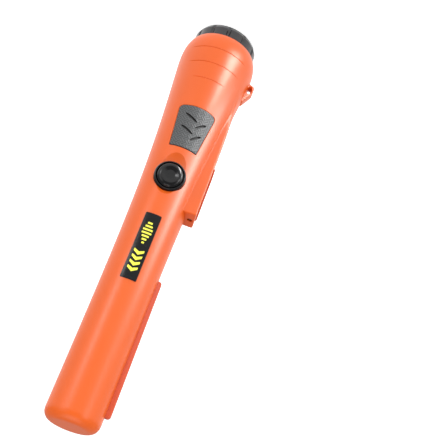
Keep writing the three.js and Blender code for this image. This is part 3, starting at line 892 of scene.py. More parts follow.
def dish(mesh):
    """Sinks the wall behind the dish, so that it keeps its thickness."""
    place = scoop_frame()
    back = place.inverted()
    for vertex in mesh.vertices:
        near = math.hypot(vertex.co.x, vertex.co.y) < casing_radius(vertex.co.z) - 0.5 * sizes().wall
        if not near or vertex.co.y > -4 * MM or abs(vertex.co.z - BUTTON_Z) > 22 * MM:
            continue
        x, y, w = back @ vertex.co
        floor = scoop_height(x, y) - 2.3 * MM
        if floor < w + 3 * MM:
            vertex.co = place @ Vector((x, y, smooth_min(w, floor, 0.55 * MM)))


def bowl(material):
    """The cutter for the dish round the button."""
    steps = [k / 14 for k in range(15)]
    profile = [(SCOOP_REACH * s, SCOOP_RISE * s ** 4 - sizes().scoop_depth) for s in steps]
    profile += [(SCOOP_REACH * 1.1, 4 * MM), (0, 4 * MM)]
    stretch = Matrix.Diagonal((1, SCOOP_STRETCH, 1, 1))
    place = scoop_frame() @ Matrix.Translation((0, -SCOOP_OFFSET, 0)) @ stretch
    return piece("bowl", turned(profile, 128), material, place=place)


def pad_outline(grow=0.0):
    """The pad's edge about its middle, as (across, height)."""
    half = (high("thumb_pad").z - low("thumb_pad").z) / 2 / MM + grow
    top, tip = PAD_HALF_TOP + grow, PAD_HALF_TIP + grow
    bow = 0.7
    loop = rounded_loop([(top, -half, 1.8), (tip, half, 0.5), (-tip, half, 0.5), (-top, -half, 1.8)])
    for point in loop:
        share = abs(point.x) / (top * MM)
        point.y += bow * MM * share * share * max(0.0, -point.y / (half * MM))
    return loop


def on_pad(across, height, level):
    """A point over the pad's place."""
    return on_front(across, middle("thumb_pad").z + height, level, PAD_TURN)


def groove_cutter(z, half_angle, material):
    """A V-shaped cutter for a grip groove, which fades out at its ends."""
    radius = casing_radius(z)
    steps = 60
    path, depths = [], []
    for k in range(steps + 1):
        t = k / steps * 2 - 1
        angle = math.radians(half_angle) * t
        depths.append(1 - t ** 4)
        path.append(Vector((-math.sin(angle), -math.cos(angle), 0)))
    vertices = []
    for direction, depth in zip(path, depths):
        foot = radius - 0.34 * MM * depth + 0.02 * MM
        top = radius + 0.5 * MM
        half = (0.16 + 0.22 * depth) * MM
        vertices += [
            direction * foot + UP * (z - 0.1 * MM), direction * foot + UP * (z + 0.1 * MM),
            direction * top + UP * (z + half * 2), direction * top + UP * (z - half * 2),
        ]
    return piece("groove", (vertices, bar_faces(steps + 1)), material)


def helix_bar(name, inner, outer, width, z0, turns, material, taper=True):
    """A screw thread's ridge about Z."""
    steps = int(turns * 72)
    vertices = []
    for k in range(steps + 1):
        t = k / steps
        fade = min(1.0, t * turns * 8, (1 - t) * turns * 8) if taper else 1.0
        angle = 2 * math.pi * turns * t
        z = z0 + turns * t * THREAD_PITCH
        direction = Vector((math.cos(angle), math.sin(angle), 0))
        reach = inner + (outer - inner) * max(fade, 0.02)
        vertices += [
            direction * inner + UP * (z - width * 0.75), direction * reach + UP * (z - width * 0.35),
            direction * reach + UP * (z + width * 0.35), direction * inner + UP * (z + width * 0.75),
        ]
    return piece(name, (vertices, bar_faces(steps + 1)), material)


class PROBE_OT_casing(bpy.types.Operator):
    """Build the one-piece casing, with its dish, pad pocket, grooves, button seat and battery bay"""

    bl_idname = "probe.casing"
    bl_label = "Casing"

    def execute(self, context):
        s = sizes()
        paint = paints()["casing"]
        fillet_z = TIP_Z - s.tip_fillet
        skin = grown(
            "casing_skin", trees()["skin"], paint, Tip_radius=s.tip_radius, Flare=s.flare,
            Flare_start=s.flare_start, Flare_length=s.flare_length, Shoulder=s.shoulder,
            Shoulder_height=s.shoulder_height, Rim=RIM_Z, Top=fillet_z, Columns=s.columns, Rows=SKIN_ROWS,
        )
        shell = merged("casing_shell", [
            skin,
            piece("tip", turned(self.tip(fillet_z), s.columns), paint),
            piece("inside", turned(self.inside(), s.columns), paint),
        ])
        outward(shell.data)
        dish(shell.data)
        cutters = self.cutters(paint) + [groove_cutter(z * MM, half, paint) for z, half in GROOVES]
        combine(shell, cutters, "DIFFERENCE", 30)
        settle(shell, "probe", "casing_plastic", "main_casing")
        return {"FINISHED"}

    def tip(self, fillet_z):
        """The profile of the rounded end."""
        s = sizes()
        flat = s.tip_radius - s.tip_fillet
        points = [(casing_radius(fillet_z), fillet_z)]
        for step in range(1, TIP_STEPS + 1):
            angle = step / TIP_STEPS * math.pi / 2
            points.append((flat + s.tip_fillet * math.cos(angle), fillet_z + s.tip_fillet * math.sin(angle)))
        return points + [(flat * share, TIP_Z) for share in (0.75, 0.5, 0.25)] + [(0, TIP_Z)]

    def inside(self):
        """The profile of the hollow, from the tip down to the rim."""
        wall = sizes().wall
        end = TIP_Z - 2.6 * MM
        points = [(0, end), (COIL_BORE_RADIUS - 2.5 * MM, end), (COIL_BORE_RADIUS, TIP_Z - 5 * MM),
                  (COIL_BORE_RADIUS, COIL_BORE_FOOT_Z)]
        height = 140 * MM
        while height > 66 * MM:
            points.append((casing_radius(height) - wall, height))
            height -= 1.5 * MM
        return points + [
            (casing_radius(65 * MM) - wall, 65 * MM), (BORE_RADIUS, BORE_TOP_Z), (BORE_RADIUS, 40 * MM),
            (BORE_RADIUS, RIM_Z + 0.3 * MM), (BORE_RADIUS + 0.3 * MM, RIM_Z), (casing_radius(RIM_Z), RIM_Z),
        ]

    def cutters(self, paint):
        """What is cut out of the shell, apart from its grooves."""
        button = button_frame()
        levels = [(0, -PAD_DEPTH), (0, -0.25 * MM), (0.5 * MM, 0.3 * MM), (0.5 * MM, 1.5 * MM)]
        pocket = outline_shell(pad_outline(0.2), on_pad, levels)
        foot, top = low("scraper_blade").z / MM - 0.2, high("scraper_blade").z / MM + 0.2
        keyway = rounded_loop([(-20, foot, 0.3), (-12, foot, 0.3), (-12, top, 0.3), (-20, top, 0.3)], 2, 20)
        lead = Matrix.Translation((0, 0, LEAD_HOLE_Z)) @ Matrix.Rotation(-math.pi / 2, 4, "Y")

        def plug(name, radius, bottom, top, sides, place):
            corners = [(0, bottom), (radius, bottom), (radius, top), (0, top)]
            return piece(name, turned(corners, sides), paint, place=place)

        return [
            bowl(paint),
            plug("seat", SEAT_RADIUS, -2.5 * MM, 6 * MM, 96, button),
            plug("hole", BUTTON_HOLE_RADIUS, -9 * MM, 0, 96, button),
            piece("pocket", pocket, paint),
            piece("keyway", prism(keyway, 3.3 * MM, UPRIGHT), paint),
            plug("lead_hole", 1.4 * MM, 9 * MM, 17 * MM, 24, lead),
            helix_bar("thread", BORE_RADIUS - 0.6 * MM, 15.9 * MM, 1.3 * MM, 9.9 * MM, 1.8, paint,
                      taper=False),
        ]


def keel_reach(angle, z):
    """The keel's outer radius at an angle from the keel's side: a slab that melts into the flare."""
    s = sizes()
    radius = casing_radius(z)
    side = s.keel_half / max(1e-4, abs(math.sin(angle)))
    slab = smooth_min(s.keel_face / math.cos(angle), side, 1.1 * MM)
    fade = smooth_step(36 * MM, 62 * MM, z)
    return radius + smooth_max(-0.3 * MM, (slab - radius) * fade - 0.05 * MM, 0.9 * MM)


def keel_slab():
    """The keel's shell, lofted up the casing and rounded at its end."""
    edge = 0.7 * MM
    heights = [(z, 0.0) for z in np.linspace(35 * MM, KEEL_END_Z - edge, 110)]
    for step in range(1, 7):
        angle = step / 6 * math.pi / 2
        heights.append((KEEL_END_Z - edge + edge * math.sin(angle), edge * (1 - math.cos(angle))))
    angles = np.radians(np.linspace(-KEEL_SPREAD, KEEL_SPREAD, 141))
    outer, inner = [], []
    for z, inset in heights:
        for angle in angles:
            reach = keel_reach(angle, z)
            under = casing_radius(z) - 0.4 * MM
            reach = max(under + 0.02 * MM, reach - inset)
            direction = Vector((-math.cos(angle), -math.sin(angle), 0))
            outer.append(direction * reach + UP * z)
            inner.append(direction * under + UP * z)
    rows, columns = len(heights), len(angles)
    offset = len(outer)
    faces = sheet_faces(rows, columns) + sheet_faces(rows, columns, offset, flip=True)
    last = (rows - 1) * columns
    for c in range(columns - 1):
        faces.append((c + 1, c, offset + c, offset + c + 1))
        faces.append((last + c, last + c + 1, offset + last + c + 1, offset + last + c))
    for r in range(rows - 1):
        a, b = r * columns, (r + 1) * columns
        faces.append((a, b, offset + b, offset + a))
        a, b = a + columns - 1, b + columns - 1
        faces.append((b, a, offset + a, offset + b))
    return outer + inner, faces


class PROBE_OT_keel(bpy.types.Operator):
    """Build the flashlight keel, its grip ribs, lamp and lens"""

    bl_idname = "probe.keel"
    bl_label = "Flashlight keel"

    def execute(self, context):
        paint = paints()["casing"]
        shell = piece("keel_shell", keel_slab(), paint)
        lamp = middle("flashlight_led")
        here = Matrix.Translation((lamp.x, 0, 0))
        socket = filleted([(0, 96, 0), (1.2, 96, 0), (1.2, 100.5, 0), (1.9, 100.5, 0), (1.9, 111.7, 0.1),
                           (1.4, 112.0, 0.1), (1.4, 112.3, 0.1), (1.7, 112.8, 0), (0, 112.8, 0)])
        combine(shell, [piece("socket", turned(socket, 40), paint, place=here)], "DIFFERENCE", 30)
        settle(shell, "probe", "casing_plastic", "side_housing")

        rib_section = filleted([(-0.9, 0, 0), (0.0, 0.95, 0.7), (0.9, 0, 0)], 6)
        half = sizes().keel_half - 0.5 * MM
        rib = piece("rib", swept([Vector((0, t * half, 0)) for t in np.linspace(-1, 1, 17)],
                                 [(x, y) for x, y in rib_section],
                                 lambda t: max(0.3, math.sqrt(max(0.0, 1 - abs(2 * t - 1) ** 20)))), paint)
        turn_rib(rib)
        first = (0.2 * MM - sizes().keel_face, 0, RIB_FIRST_Z)
        ribs = copies_in_row("keel_ribs", rib, RIB_COUNT, first, (0, 0, RIB_PITCH), paint)
        settle(ribs, "probe", "casing_plastic")

        lens = [(0, 110.55, 0), (1.75, 110.55, 0.15), (1.75, 111.25, 0.25), (1.1, 111.62, 0.3), (0, 111.7, 0)]
        bulb = [(0, 103.6, 0), (1.72, 103.6, 0.15), (1.72, 104.6, 0.15), (1.5, 104.6, 0.05), (1.5, 108.6, 0.6),
                (1.0, 109.6, 0.6), (0, 110.0, 0)]
        for name, profile, node in (("lamp_lens", lens, "led_lens"), ("lamp_bulb", bulb, "flashlight_led")):
            clear = piece(name, turned(filleted(profile), 40), paints()["clear"], place=here)
            settle(clear, "probe", "clear_resin", node)
        return {"FINISHED"}


def turn_rib(rib):
    """Turns a rib so that its crown points out of the keel's face."""
    mesh = rib.data
    crown = max(mesh.vertices, key=lambda v: Vector((v.co.x, 0, v.co.z)).length).co
    angle = math.atan2(crown.z, crown.x)
    mesh.transform(Matrix.Rotation(math.pi + angle, 4, "Y"))


class PROBE_OT_loop(bpy.types.Operator):
    """Build the lanyard loop"""

    bl_idname = "probe.loop"
    bl_label = "Lanyard loop"

    def execute(self, context):
        paint = paints()["casing"]
        z0, z1 = low("lanyard_loop").z / MM, high("lanyard_loop").z / MM
        reach = -low("lanyard_loop").x / MM
        corners = [(-17.5, z0 + 0.4, 0), (-20.5, z0, 1.0), (-reach, z0 + 1.2, 1.6), (-reach, z0 + 5.2, 2.5),
                   (-19.4, z1, 1.5), (-17.5, z1, 0)]
        outline = [(p.x, p.y) for p in rounded_loop(list(reversed(corners)), 6, 0.6)]
        thick = high("lanyard_loop").y - low("lanyard_loop").y
        loop = piece("lanyard_eye", prism(outline, thick, UPRIGHT), paint)
        eye = [((-21 + 1.25 * math.cos(a)) * MM, (26.6 + 2.5 * math.sin(a)) * MM) for a in even_angles(32)]
        combine(loop, [piece("eye", prism(eye, 9 * MM, UPRIGHT), paint)], "DIFFERENCE")
        soften(loop, 0.45 * MM, 3, 40)
        settle(loop, "probe", "casing_plastic", "lanyard_loop")
        return {"FINISHED"}


class PROBE_OT_blade(bpy.types.Operator):
    """Build the scraper blade down the side of the tip"""

    bl_idname = "probe.blade"
    bl_label = "Scraper blade"

    def execute(self, context):
        foot, top = low("scraper_blade"), high("scraper_blade")
        face = foot.x / MM
        corners = [(-12.0, foot.z / MM, 0.2), (-12.0, top.z / MM, 0.2), (face + 0.1, top.z / MM, 1.9),
                   (face + 0.4, foot.z / MM, 1.9)]
        outline = [(p.x, p.y) for p in rounded_loop(corners, 8, 2.5)]
        # The blade takes the darker orange, which is painted shade.
        blade = piece("blade", prism(outline, top.y - foot.y, UPRIGHT), paints()["blade"])
        soften(blade, 0.5 * MM, 4, 40)
        settle(blade, "probe", "blade_plastic", "scraper_blade")
        return {"FINISHED"}


class PROBE_OT_thumb_pad(bpy.types.Operator):
    """Build the rubber thumb pad with its slanting grip slots"""

    bl_idname = "probe.thumb_pad"
    bl_label = "Thumb pad"

    def execute(self, context):
        paint = paints()["pad"]
        levels = [(-0.1 * MM, 0.1 * MM - PAD_DEPTH), (0, 0.2 * MM - PAD_DEPTH), (0, -0.12 * MM),
                  (-0.05 * MM, 0.03 * MM), (-0.15 * MM, 0.11 * MM), (-0.3 * MM, 0.15 * MM)]
        pad = piece("grip_pad", outline_shell(pad_outline(), on_pad, levels, rings=24), paint)
        cutters = []
        for start, end in PAD_SLOTS:
            points = [Vector(start).lerp(Vector(end), t) * MM for t in np.linspace(0, 1, 13)]
            along = (points[-1] - points[0]).normalized()
            side = Vector((-along.y, along.x))
            vertices = []
            for k, point in enumerate(points):
                width = 0.6 * MM * math.sqrt(max(0.04, 1 - abs(k / 6 - 1) ** 3))
                for shift, level in ((-0.85, -0.7), (0.85, -0.7), (1.15, 0.6), (-1.15, 0.6)):
                    p = point + side * (width * shift)
                    vertices.append(on_front(p.x, p.y, level * MM, PAD_TURN))
            # The slot cutters carry the near-black seal rubber, which the boolean passes to the slot walls: painted
            # shade in the slots.
            cutters.append(piece("slot", (vertices, bar_faces(len(points))), paints()["seal"]))
        combine(pad, cutters, "DIFFERENCE", 30)
        settle(pad, "probe", "pad_rubber", "thumb_pad")
        return {"FINISHED"}


class PROBE_OT_label(bpy.types.Operator):
    """Build the front label and its plain marks"""

    bl_idname = "probe.label"
    bl_label = "Front label"

    def execute(self, context):
        half = (high("front_label").z - low("front_label").z) / 2 / MM
        centre = middle("front_label").z
        width = 3.85

        def on_label(across, height, level):
            return on_front(across, centre + height, level)

        corners = [(x * width, z * half, 0.5) for x, z in ((1, -1), (1, 1), (-1, 1), (-1, -1))]
        loop = rounded_loop(corners)
        levels = [(0, 0.02 * MM), (0, 0.24 * MM), (-0.05 * MM, 0.3 * MM)]
        film = piece("label_film", outline_shell(loop, on_label, levels, rings=10), paints()["film"])
        settle(film, "probe", "label_film", "front_label")

        marks = []

        def mark(points):
            middle_point = sum((Vector(p) for p in points), Vector((0, 0))) / len(points)
            about = [(Vector(p) - middle_point) for p in points]
            corners = [(p.x, p.y, 0.15) for p in about]

            def place(across, height, level):
                return on_label(across + middle_point.x * MM, height + middle_point.y * MM, level)

            levels = [(0, 0.29 * MM), (0, 0.34 * MM)]
            shape = outline_shell(rounded_loop(corners, 3, 0.4), place, levels, rings=3)
            marks.append(piece("mark", shape, paints()["mark"]))

        for k in range(7):
            reach = (1.1, 1.7, 2.3, 2.3, 1.7, 1.1, 0.6)[k]
            y = -12.6 + 1.75 * k
            mark([(-reach, y), (reach, y), (reach, y + 0.95), (-reach, y + 0.95)])
        for k in range(4):
            y = 2.0 + 2.9 * k
            mark([(-2.4, y), (0, y + 1.7), (2.4, y), (2.4, y + 1.3), (0, y + 3.0), (-2.4, y + 1.3)])
        settle(merged("label_marks", marks), "probe", "label_film")
        return {"FINISHED"}


class PROBE_OT_button(bpy.types.Operator):
    """Build the push button with its bezel and seal"""

    bl_idname = "probe.button"
    bl_label = "Push button"

    def execute(self, context):
        place = button_frame()
        gloss = paints()["gloss"]
        bezel = filleted([(5.85, -2.4, 0.1), (7.8, -2.4, 0.2), (7.8, 0.1, 0.6), (7.3, 0.88, 0.25),
                          (6.9, 0.88, 0.15), (6.75, 0.3, 0.2), (6.75, -1.95, 0.2), (5.85, -1.95, 0.1)],
                         6, closed=True)
        ring = piece("button_ring", turned(bezel, 96, closed=True), gloss, 50, place)
        settle(ring, "probe", "button_plastic", "button_bezel")
        dome = filleted([(0, -7.1, 0), (1.5, -7.1, 0.3), (1.5, -4.3, 0.2), (6.5, -4.3, 0.3), (6.5, -3.0, 0.3),
                         (5.55, -3.0, 0.1), (5.55, -1.0, 0.2), (6.5, -1.0, 0.2), (6.5, 0.8, 0.9), (5.7, 2.0, 0.9),
                         (4.5, 2.6, 1.4), (2.4, 2.0, 1.8), (0, 1.85, 0)], 8)
        crown = piece("button_dome", turned(dome, 96), gloss, 50, place)
        settle(crown, "button", "button_plastic", "button_cap")
        seal = filleted([(2.1, -6.1, 0.2), (8.4, -6.1, 0.2), (8.4, -5.35, 0.2), (6.2, -5.35, 0.3),
                         (5.2, -5.75, 0.3), (3.6, -5.45, 0.3), (2.1, -5.35, 0.2)], 4, closed=True)
        gasket = piece("button_gasket", turned(seal, 72, closed=True), paints()["seal"], 50, place)
        settle(gasket, "probe", "seal_rubber", "button_seal")
        return {"FINISHED"}


FLUTES = 12


def flute_angles():
    """Directions round the cap, close together in each groove."""
    lobe = 360 / FLUTES
    steps = [-3.6, -2.9, -2.2, -1.5, -0.75, 0, 0.75, 1.5, 2.2, 2.9, 3.6, 6, 9, 12, 15, 18, 21, 24]
    return [math.radians(lobe * k + step) for k in range(FLUTES) for step in steps]


class PROBE_OT_cap(bpy.types.Operator):
    """Build the fluted battery cap with its threaded neck, seal and cushion"""

    bl_idname = "probe.cap"
    bl_label = "Battery cap"

    def execute(self, context):
        paint = paints()["cap"]
        edge = sizes().cap_radius / MM
        profile = filleted([(0, 0, 0), (12.5, 0, 0.8), (14.5, 0.9, 0.8), (16.3, 2.05, 0.8), (edge, 4.4, 2.0),
                            (edge, 6.5, 0), (edge, 8.6, 0), (edge, 10.2, 0.5), (13.6, 10.2, 0.2), (13.6, 11.8, 0.2),
                            (14.75, 11.9, 0.25), (14.75, 15.6, 0.5), (12.4, 15.6, 0.4), (12.4, 2.5, 0.6),
                            (0, 2.5, 0)], 6)

        def fluted(radius, z, angle):
            lobe = 2 * math.pi / FLUTES
            off = (angle + lobe / 2) % lobe - lobe / 2
            groove = max(0.0, 1 - (off / math.radians(3.4)) ** 2) ** 0.8
            tall = smooth_step(2.4 * MM, 3.6 * MM, z) * (1 - smooth_step(9.3 * MM, 10.0 * MM, z))
            outside = smooth_step(13.4 * MM, 15.4 * MM, radius) if z < 10.3 * MM else 0
            crown = 0.3 * MM * (1 - abs(off) / (lobe / 2)) ** 2
            return radius - (0.75 * MM * groove + crown) * tall * outside

        shell = piece("cap_shell", turned(profile, angles=flute_angles(), radius_at=fluted), paint, 40)
        ridge = helix_bar("ridge", 14.4 * MM, 15.6 * MM, 1.0 * MM, 12.9 * MM, 0.75, paint)
        combine(shell, [ridge], "UNION", 40)
        settle(shell, "screw_cap", "cap_plastic", "battery_cap")
        turns, sides = 96, 14
        ring = [Vector((14.35 * math.cos(a), 14.35 * math.sin(a), 11.1)) * MM for a in even_angles(turns)]
        section = round_section(0.6 * MM, sides)
        vertices = []
        for point in ring:
            out = Vector((point.x, point.y, 0)).normalized()
            vertices += [point + out * x + UP * y for x, y in section]
        faces = [
            (k * sides + i, (k + 1) % turns * sides + i, (k + 1) % turns * sides + (i + 1) % sides,
             k * sides + (i + 1) % sides)
            for k in range(turns) for i in range(sides)
        ]
        seal = piece("cap_ring_seal", (vertices, faces), paints()["seal"])
        settle(seal, "cap_seal", "seal_rubber", "cap_o_ring")
        pad = filleted([(0, 2.7, 0), (12.1, 2.7, 0.5), (12.1, 15.9, 0.9), (0, 15.9, 0)], 4)
        cushion = piece("cap_cushion_pad", turned(pad, 72), paints()["foam"])
        settle(cushion, "cap_seal", "foam", "cap_cushion")
        return {"FINISHED"}


def loft(rings):
    """A closed solid through loops that hold the same number of points, its ends closed by fans."""
    vertices, faces = [], []
    count = len(rings[0])
    for ring in rings:
        vertices += ring
    for k in range(len(rings) - 1):
        for i in range(count):
            j = (i + 1) % count
            faces.append((k * count + i, k * count + j, (k + 1) * count + j, (k + 1) * count + i))
    for ring, start, back in ((rings[0], 0, True), (rings[-1], count * (len(rings) - 1), False)):
        pole = len(vertices)
        vertices.append(sum(ring, Vector()) / count)
        for i in range(count):
            j = start + (i + 1) % count
            faces.append((pole, j, start + i) if back else (pole, start + i, j))
    return vertices, faces


def rounded_box(node, corner, levels):
    """Loops of a box with rounded upright corners: levels is a list of (inset, height) in millimetres."""
    centre = middle(node)
    half = (high(node) - low(node)) / 2 / MM
    rings = []
    for inset, z in levels:
        x, y, r = half.x - inset, half.y - inset, max(0.2, corner - inset)
        loop = filleted([(x, -y, r), (x, y, r), (-x, y, r), (-x, -y, r)], 6, closed=True)
        rings.append([Vector((centre.x + p.x, centre.y + p.y, z * MM)) for p in loop])
    return loft(rings)


def lathe(name, node, corners, paint):
    """A turned piece that stands for a frame node. Its heights run up from the node's low end."""
    place = Matrix.Translation((middle(node).x, middle(node).y, low(node).z))
    return piece(name, turned(filleted(corners, 5), 48), paints()[paint], 40, place)


def screw(facing):
    """A pan-head screw with a cross recess, its crown at the origin and its head towards facing."""
    paint = paints()["steel"]
    body = filleted([(0, 0, 0), (0.95, 0, 0.2), (0.95, 4.2, 0.1), (1.9, 4.2, 0.1), (1.9, 4.9, 0.5), (1.0, 5.5, 1.2),
                     (0, 5.6, 0)], 5)
    one = piece("screw", turned(body, 32), paint)
    bar = [(-1.1 * MM, -0.2 * MM), (1.1 * MM, -0.2 * MM), (1.1 * MM, 0.2 * MM), (-1.1 * MM, 0.2 * MM)]
    crown = Matrix.Translation((0, 0, 5.5 * MM))
    cross = [piece("cross", prism(bar, 1.4 * MM, crown @ Matrix.Rotation(turn, 4, "Z")), paint)
             for turn in (0, math.pi / 2)]
    combine(one, cross, "DIFFERENCE")
    turn = Vector(facing).to_track_quat("Z", "Y").to_matrix().to_4x4()
    one.data.transform(turn @ Matrix.Translation((0, 0, -5.6 * MM)))
    return one


def screw_pair(name, facing, first, second):
    """Two equal screws whose crowns are at two places."""
    return copies_in_row(name, screw(facing), 2, first, second - first, paints()["steel"])


class PROBE_OT_battery(bpy.types.Operator):
    """Build the 9 V battery with its crimped ends and its two snaps"""

    bl_idname = "probe.battery"
    bl_label = "Battery"

    def execute(self, context):
        z0, z1 = low("battery").z / MM, high("battery").z / MM
        crimp = [(3, 0.3), (1.6, 0.3), (1.2, 0), (0.5, 0), (0.1, 0.4), (0, 1.0), (0, 2.0), (0.3, 2.2), (0.3, 2.5),
                 (0, 2.7)]
        levels = [(inset, z0 + rise) for inset, rise in crimp]
        levels += [(inset, z1 - rise) for inset, rise in reversed(crimp)]
        jacket = piece("battery_jacket", rounded_box("battery", 3, levels), paints()["jacket"], 50)
        jacket.data.materials.append(paints()["jacket_print"])
        for face in jacket.data.polygons:
            if (z0 + 2.6) * MM < face.center.z < (z1 - 2.6) * MM:
                face.material_index = 1
        settle(jacket, "probe", "battery_jacket", "battery")
        male = [(0, 0, 0), (2.9, 0, 0.1), (2.9, 0.5, 0.1), (2.4, 0.6, 0.1), (2.4, 1.5, 0.2), (2.8, 1.8, 0.2),
                (2.6, 2.4, 0.3), (0, 2.4, 0)]
        female = [(3.2, 0, 0.1), (4.4, 0, 0.1), (4.4, 0.7, 0.2), (4.1, 0.9, 0.2), (4.2, 2.2, 0.3), (3.9, 2.4, 0.2),
                  (3.3, 2.4, 0.2), (3.2, 1.4, 0.3)]
        stud = lathe("snap_male", "battery_terminal_male", male, "steel")
        settle(stud, "probe", "steel", "battery_terminal_male")
        spot = middle("battery_terminal_female")
        place = Matrix.Translation((spot.x, spot.y, low("battery_terminal_female").z))
        profile = filleted(female, 5, closed=True)
        socket = piece("snap_female", turned(profile, 48, closed=True), paints()["steel"], place=place)
        settle(socket, "probe", "steel", "battery_terminal_female")
        return {"FINISHED"}


class PROBE_OT_coil(bpy.types.Operator):
    """Build the search coil: ferrite core, bobbin and wire winding"""

    bl_idname = "probe.coil"
    bl_label = "Search coil"

    def execute(self, context):
        foot, length = low("coil_winding").z, high("coil_winding").z - low("coil_winding").z
        wire = 0.36 * MM
        outer = high("coil_winding").x
        rise = length - 2 * wire
        winding = grown("wire", trees()["winding"], paints()["copper"], 40, Turns=rise / (2 * wire),
                        Radius=outer - wire, Length=rise, Wire=wire * 0.98, Foot=foot + wire, Steps=40)
        core = [(5.35, 0, 0), (6.2, 0, 0), (6.2, length / MM, 0), (5.35, length / MM, 0)]
        under = piece("under_layers", turned([(r * MM, z * MM) for r, z, _ in core], 48, closed=True),
                      paints()["copper"], place=Matrix.Translation((0, 0, foot)))
        settle(merged("coil_wire", [winding, under]), "probe", "copper", "coil_winding")

        z0, z1 = low("coil_bobbin").z / MM, high("coil_bobbin").z / MM
        flange = 1.8
        profile = filleted([(4.35, z0, 0.2), (10.1, z0, 0.3), (10.1, z0 + flange, 0.3), (5.25, z0 + flange, 0.2),
                            (5.25, z1 - flange, 0.2), (10.1, z1 - flange, 0.3), (10.1, z1, 0.3), (4.35, z1, 0.2)],
                           4, closed=True)
        bobbin = piece("bobbin", turned(profile, 72, closed=True), paints()["natural"])
        settle(bobbin, "probe", "bobbin_plastic", "coil_bobbin")
        length = (high("ferrite_core").z - low("ferrite_core").z) / MM
        rod = [(0, 0, 0), (4.1, 0, 0.5), (4.1, length, 0.5), (0, length, 0)]
        settle(lathe("ferrite_rod", "ferrite_core", rod, "ferrite"), "probe", "ferrite", "ferrite_core")
        return {"FINISHED"}


class PROBE_OT_screws(bpy.types.Operator):
    """Build the screws that hold the bulkhead and the circuit board"""

    bl_idname = "probe.screws"
    bl_label = "Screws"

    def execute(self, context):
        nodes = ["bulkhead_screw_1", "bulkhead_screw_2"]
        spots = [Vector((middle(node).x, middle(node).y, low(node).z)) for node in nodes]
        settle(screw_pair("bulkhead_screws", (0, 0, -1), *spots), "probe", "steel", *nodes)
        nodes = [f"board_screw_{k}" for k in (1, 2, 3, 4)]
        spots = [Vector((middle(node).x, low(node).y, middle(node).z)) for node in nodes]
        rows = [screw_pair("screw_row", (0, -1, 0), *spots[k:k + 2]) for k in (0, 2)]
        settle(merged("board_screws", rows), "probe", "steel", *nodes)
        return {"FINISHED"}


class PROBE_OT_electronics(bpy.types.Operator):
    """Build the components on the circuit board, and the vibration motor"""

    bl_idname = "probe.electronics"
    bl_label = "Electronics"

    def execute(self, context):
        for node, pins in (("microcontroller", 9), ("amplifier_chip", 4)):
            self.chip(node, pins)
        for node in ("capacitor_large", "capacitor_small"):
            length = (high(node).z - low(node).z) / MM
            r = (high(node).x - low(node).x) / 2 / MM
            can = [(0, 0.25, 0), (r * 0.78, 0.25, 0.1), (r * 0.86, 0, 0.2), (r, 0.1, 0.3), (r, length - 2.2, 0.2),
                   (r * 0.86, length - 1.9, 0.25), (r, length - 1.6, 0.2), (r, length, 0.4), (0, length, 0)]
            settle(lathe(f"{node}_can", node, can, "sleeve"), "probe", "capacitor_sleeve", node)
        can_length = (high("vibration_motor").z - low("vibration_motor").z) / MM
        bottom = can_length - 1.8  # of the shaft's hole
        motor = [(0, 0, 0), (2.0, 0, 0.2), (2.5, 0.3, 0.3), (2.5, can_length - 0.6, 0.3),
                 (1.6, can_length - 0.5, 0.2), (1.2, can_length, 0.2), (0.62, can_length, 0.05),
                 (0.62, bottom, 0), (0, bottom, 0)]
        settle(lathe("motor_can", "vibration_motor", motor, "steel"), "probe", "steel", "vibration_motor")
        finishes = {
            "inner": ["switch_plunger", "bulkhead", "electronics_frame", "coil_connector"],
            "seal": ["led_cable", "bulkhead_o_ring", "sounder_gasket", "coil_cable"],
            "foam": ["tip_cushion"],
            "steel": ["switch_body", "motor_shaft", "eccentric_weight"],
            "brass": ["contact_socket", "contact_stud", "sounder", "motor_clip"],
            "board": ["contact_board", "circuit_board"],
            "copper": ["inductor"],
        }
        for paint, nodes in finishes.items():
            for node in nodes:
                paint_node(node, paint)
        return {"FINISHED"}

    def chip(self, node, pins):
        """A moulded chip with a row of bent pins down two sides."""
        foot, top = low(node), high(node)
        size = top - foot
        margin = 0.7 * MM
        outline = [(-size.x / 2 + margin, -size.z / 2), (size.x / 2 - margin, -size.z / 2),
                   (size.x / 2 - margin, size.z / 2), (-size.x / 2 + margin, size.z / 2)]
        place = Matrix.Translation(middle(node)) @ UPRIGHT
        body = piece("body", prism(outline, size.y * 0.86, place), paints()["chip"])
        soften(body, 0.12 * MM, 2)
        rows = []
        step = (size.z - 1.0 * MM) / (pins - 1)
        for side in (-1, 1):
            x0 = middle(node).x + side * (size.x / 2 - margin)
            x1 = middle(node).x + side * (size.x / 2 - 0.05 * MM)
            y_mid, y_foot = middle(node).y, foot.y + 0.08 * MM
            path = [Vector((x0 - side * 0.2 * MM, y_mid, 0)), Vector((x0 + side * 0.2 * MM, y_mid, 0)),
                    Vector((x0 + side * 0.32 * MM, y_foot, 0)), Vector((x1, y_foot, 0))]
            section = [(x * MM, y * MM) for x, y in ((-0.16, -0.06), (0.16, -0.06), (0.16, 0.06), (-0.16, 0.06))]
            pin = piece("pin", swept(path, section), paints()["tin"])
            first = (0, 0, foot.z + 0.5 * MM)
            rows.append(copies_in_row("pins", pin, pins, first, (0, 0, step), paints()["tin"]))
        settle(merged(f"{node}_package", [body, *rows]), "probe", "chip_resin", node)


# ---------------------------------------------------------------- stage
FLOOR_HALF = 6.0
LAMP_AIM = Vector((0, 0, 0.115))
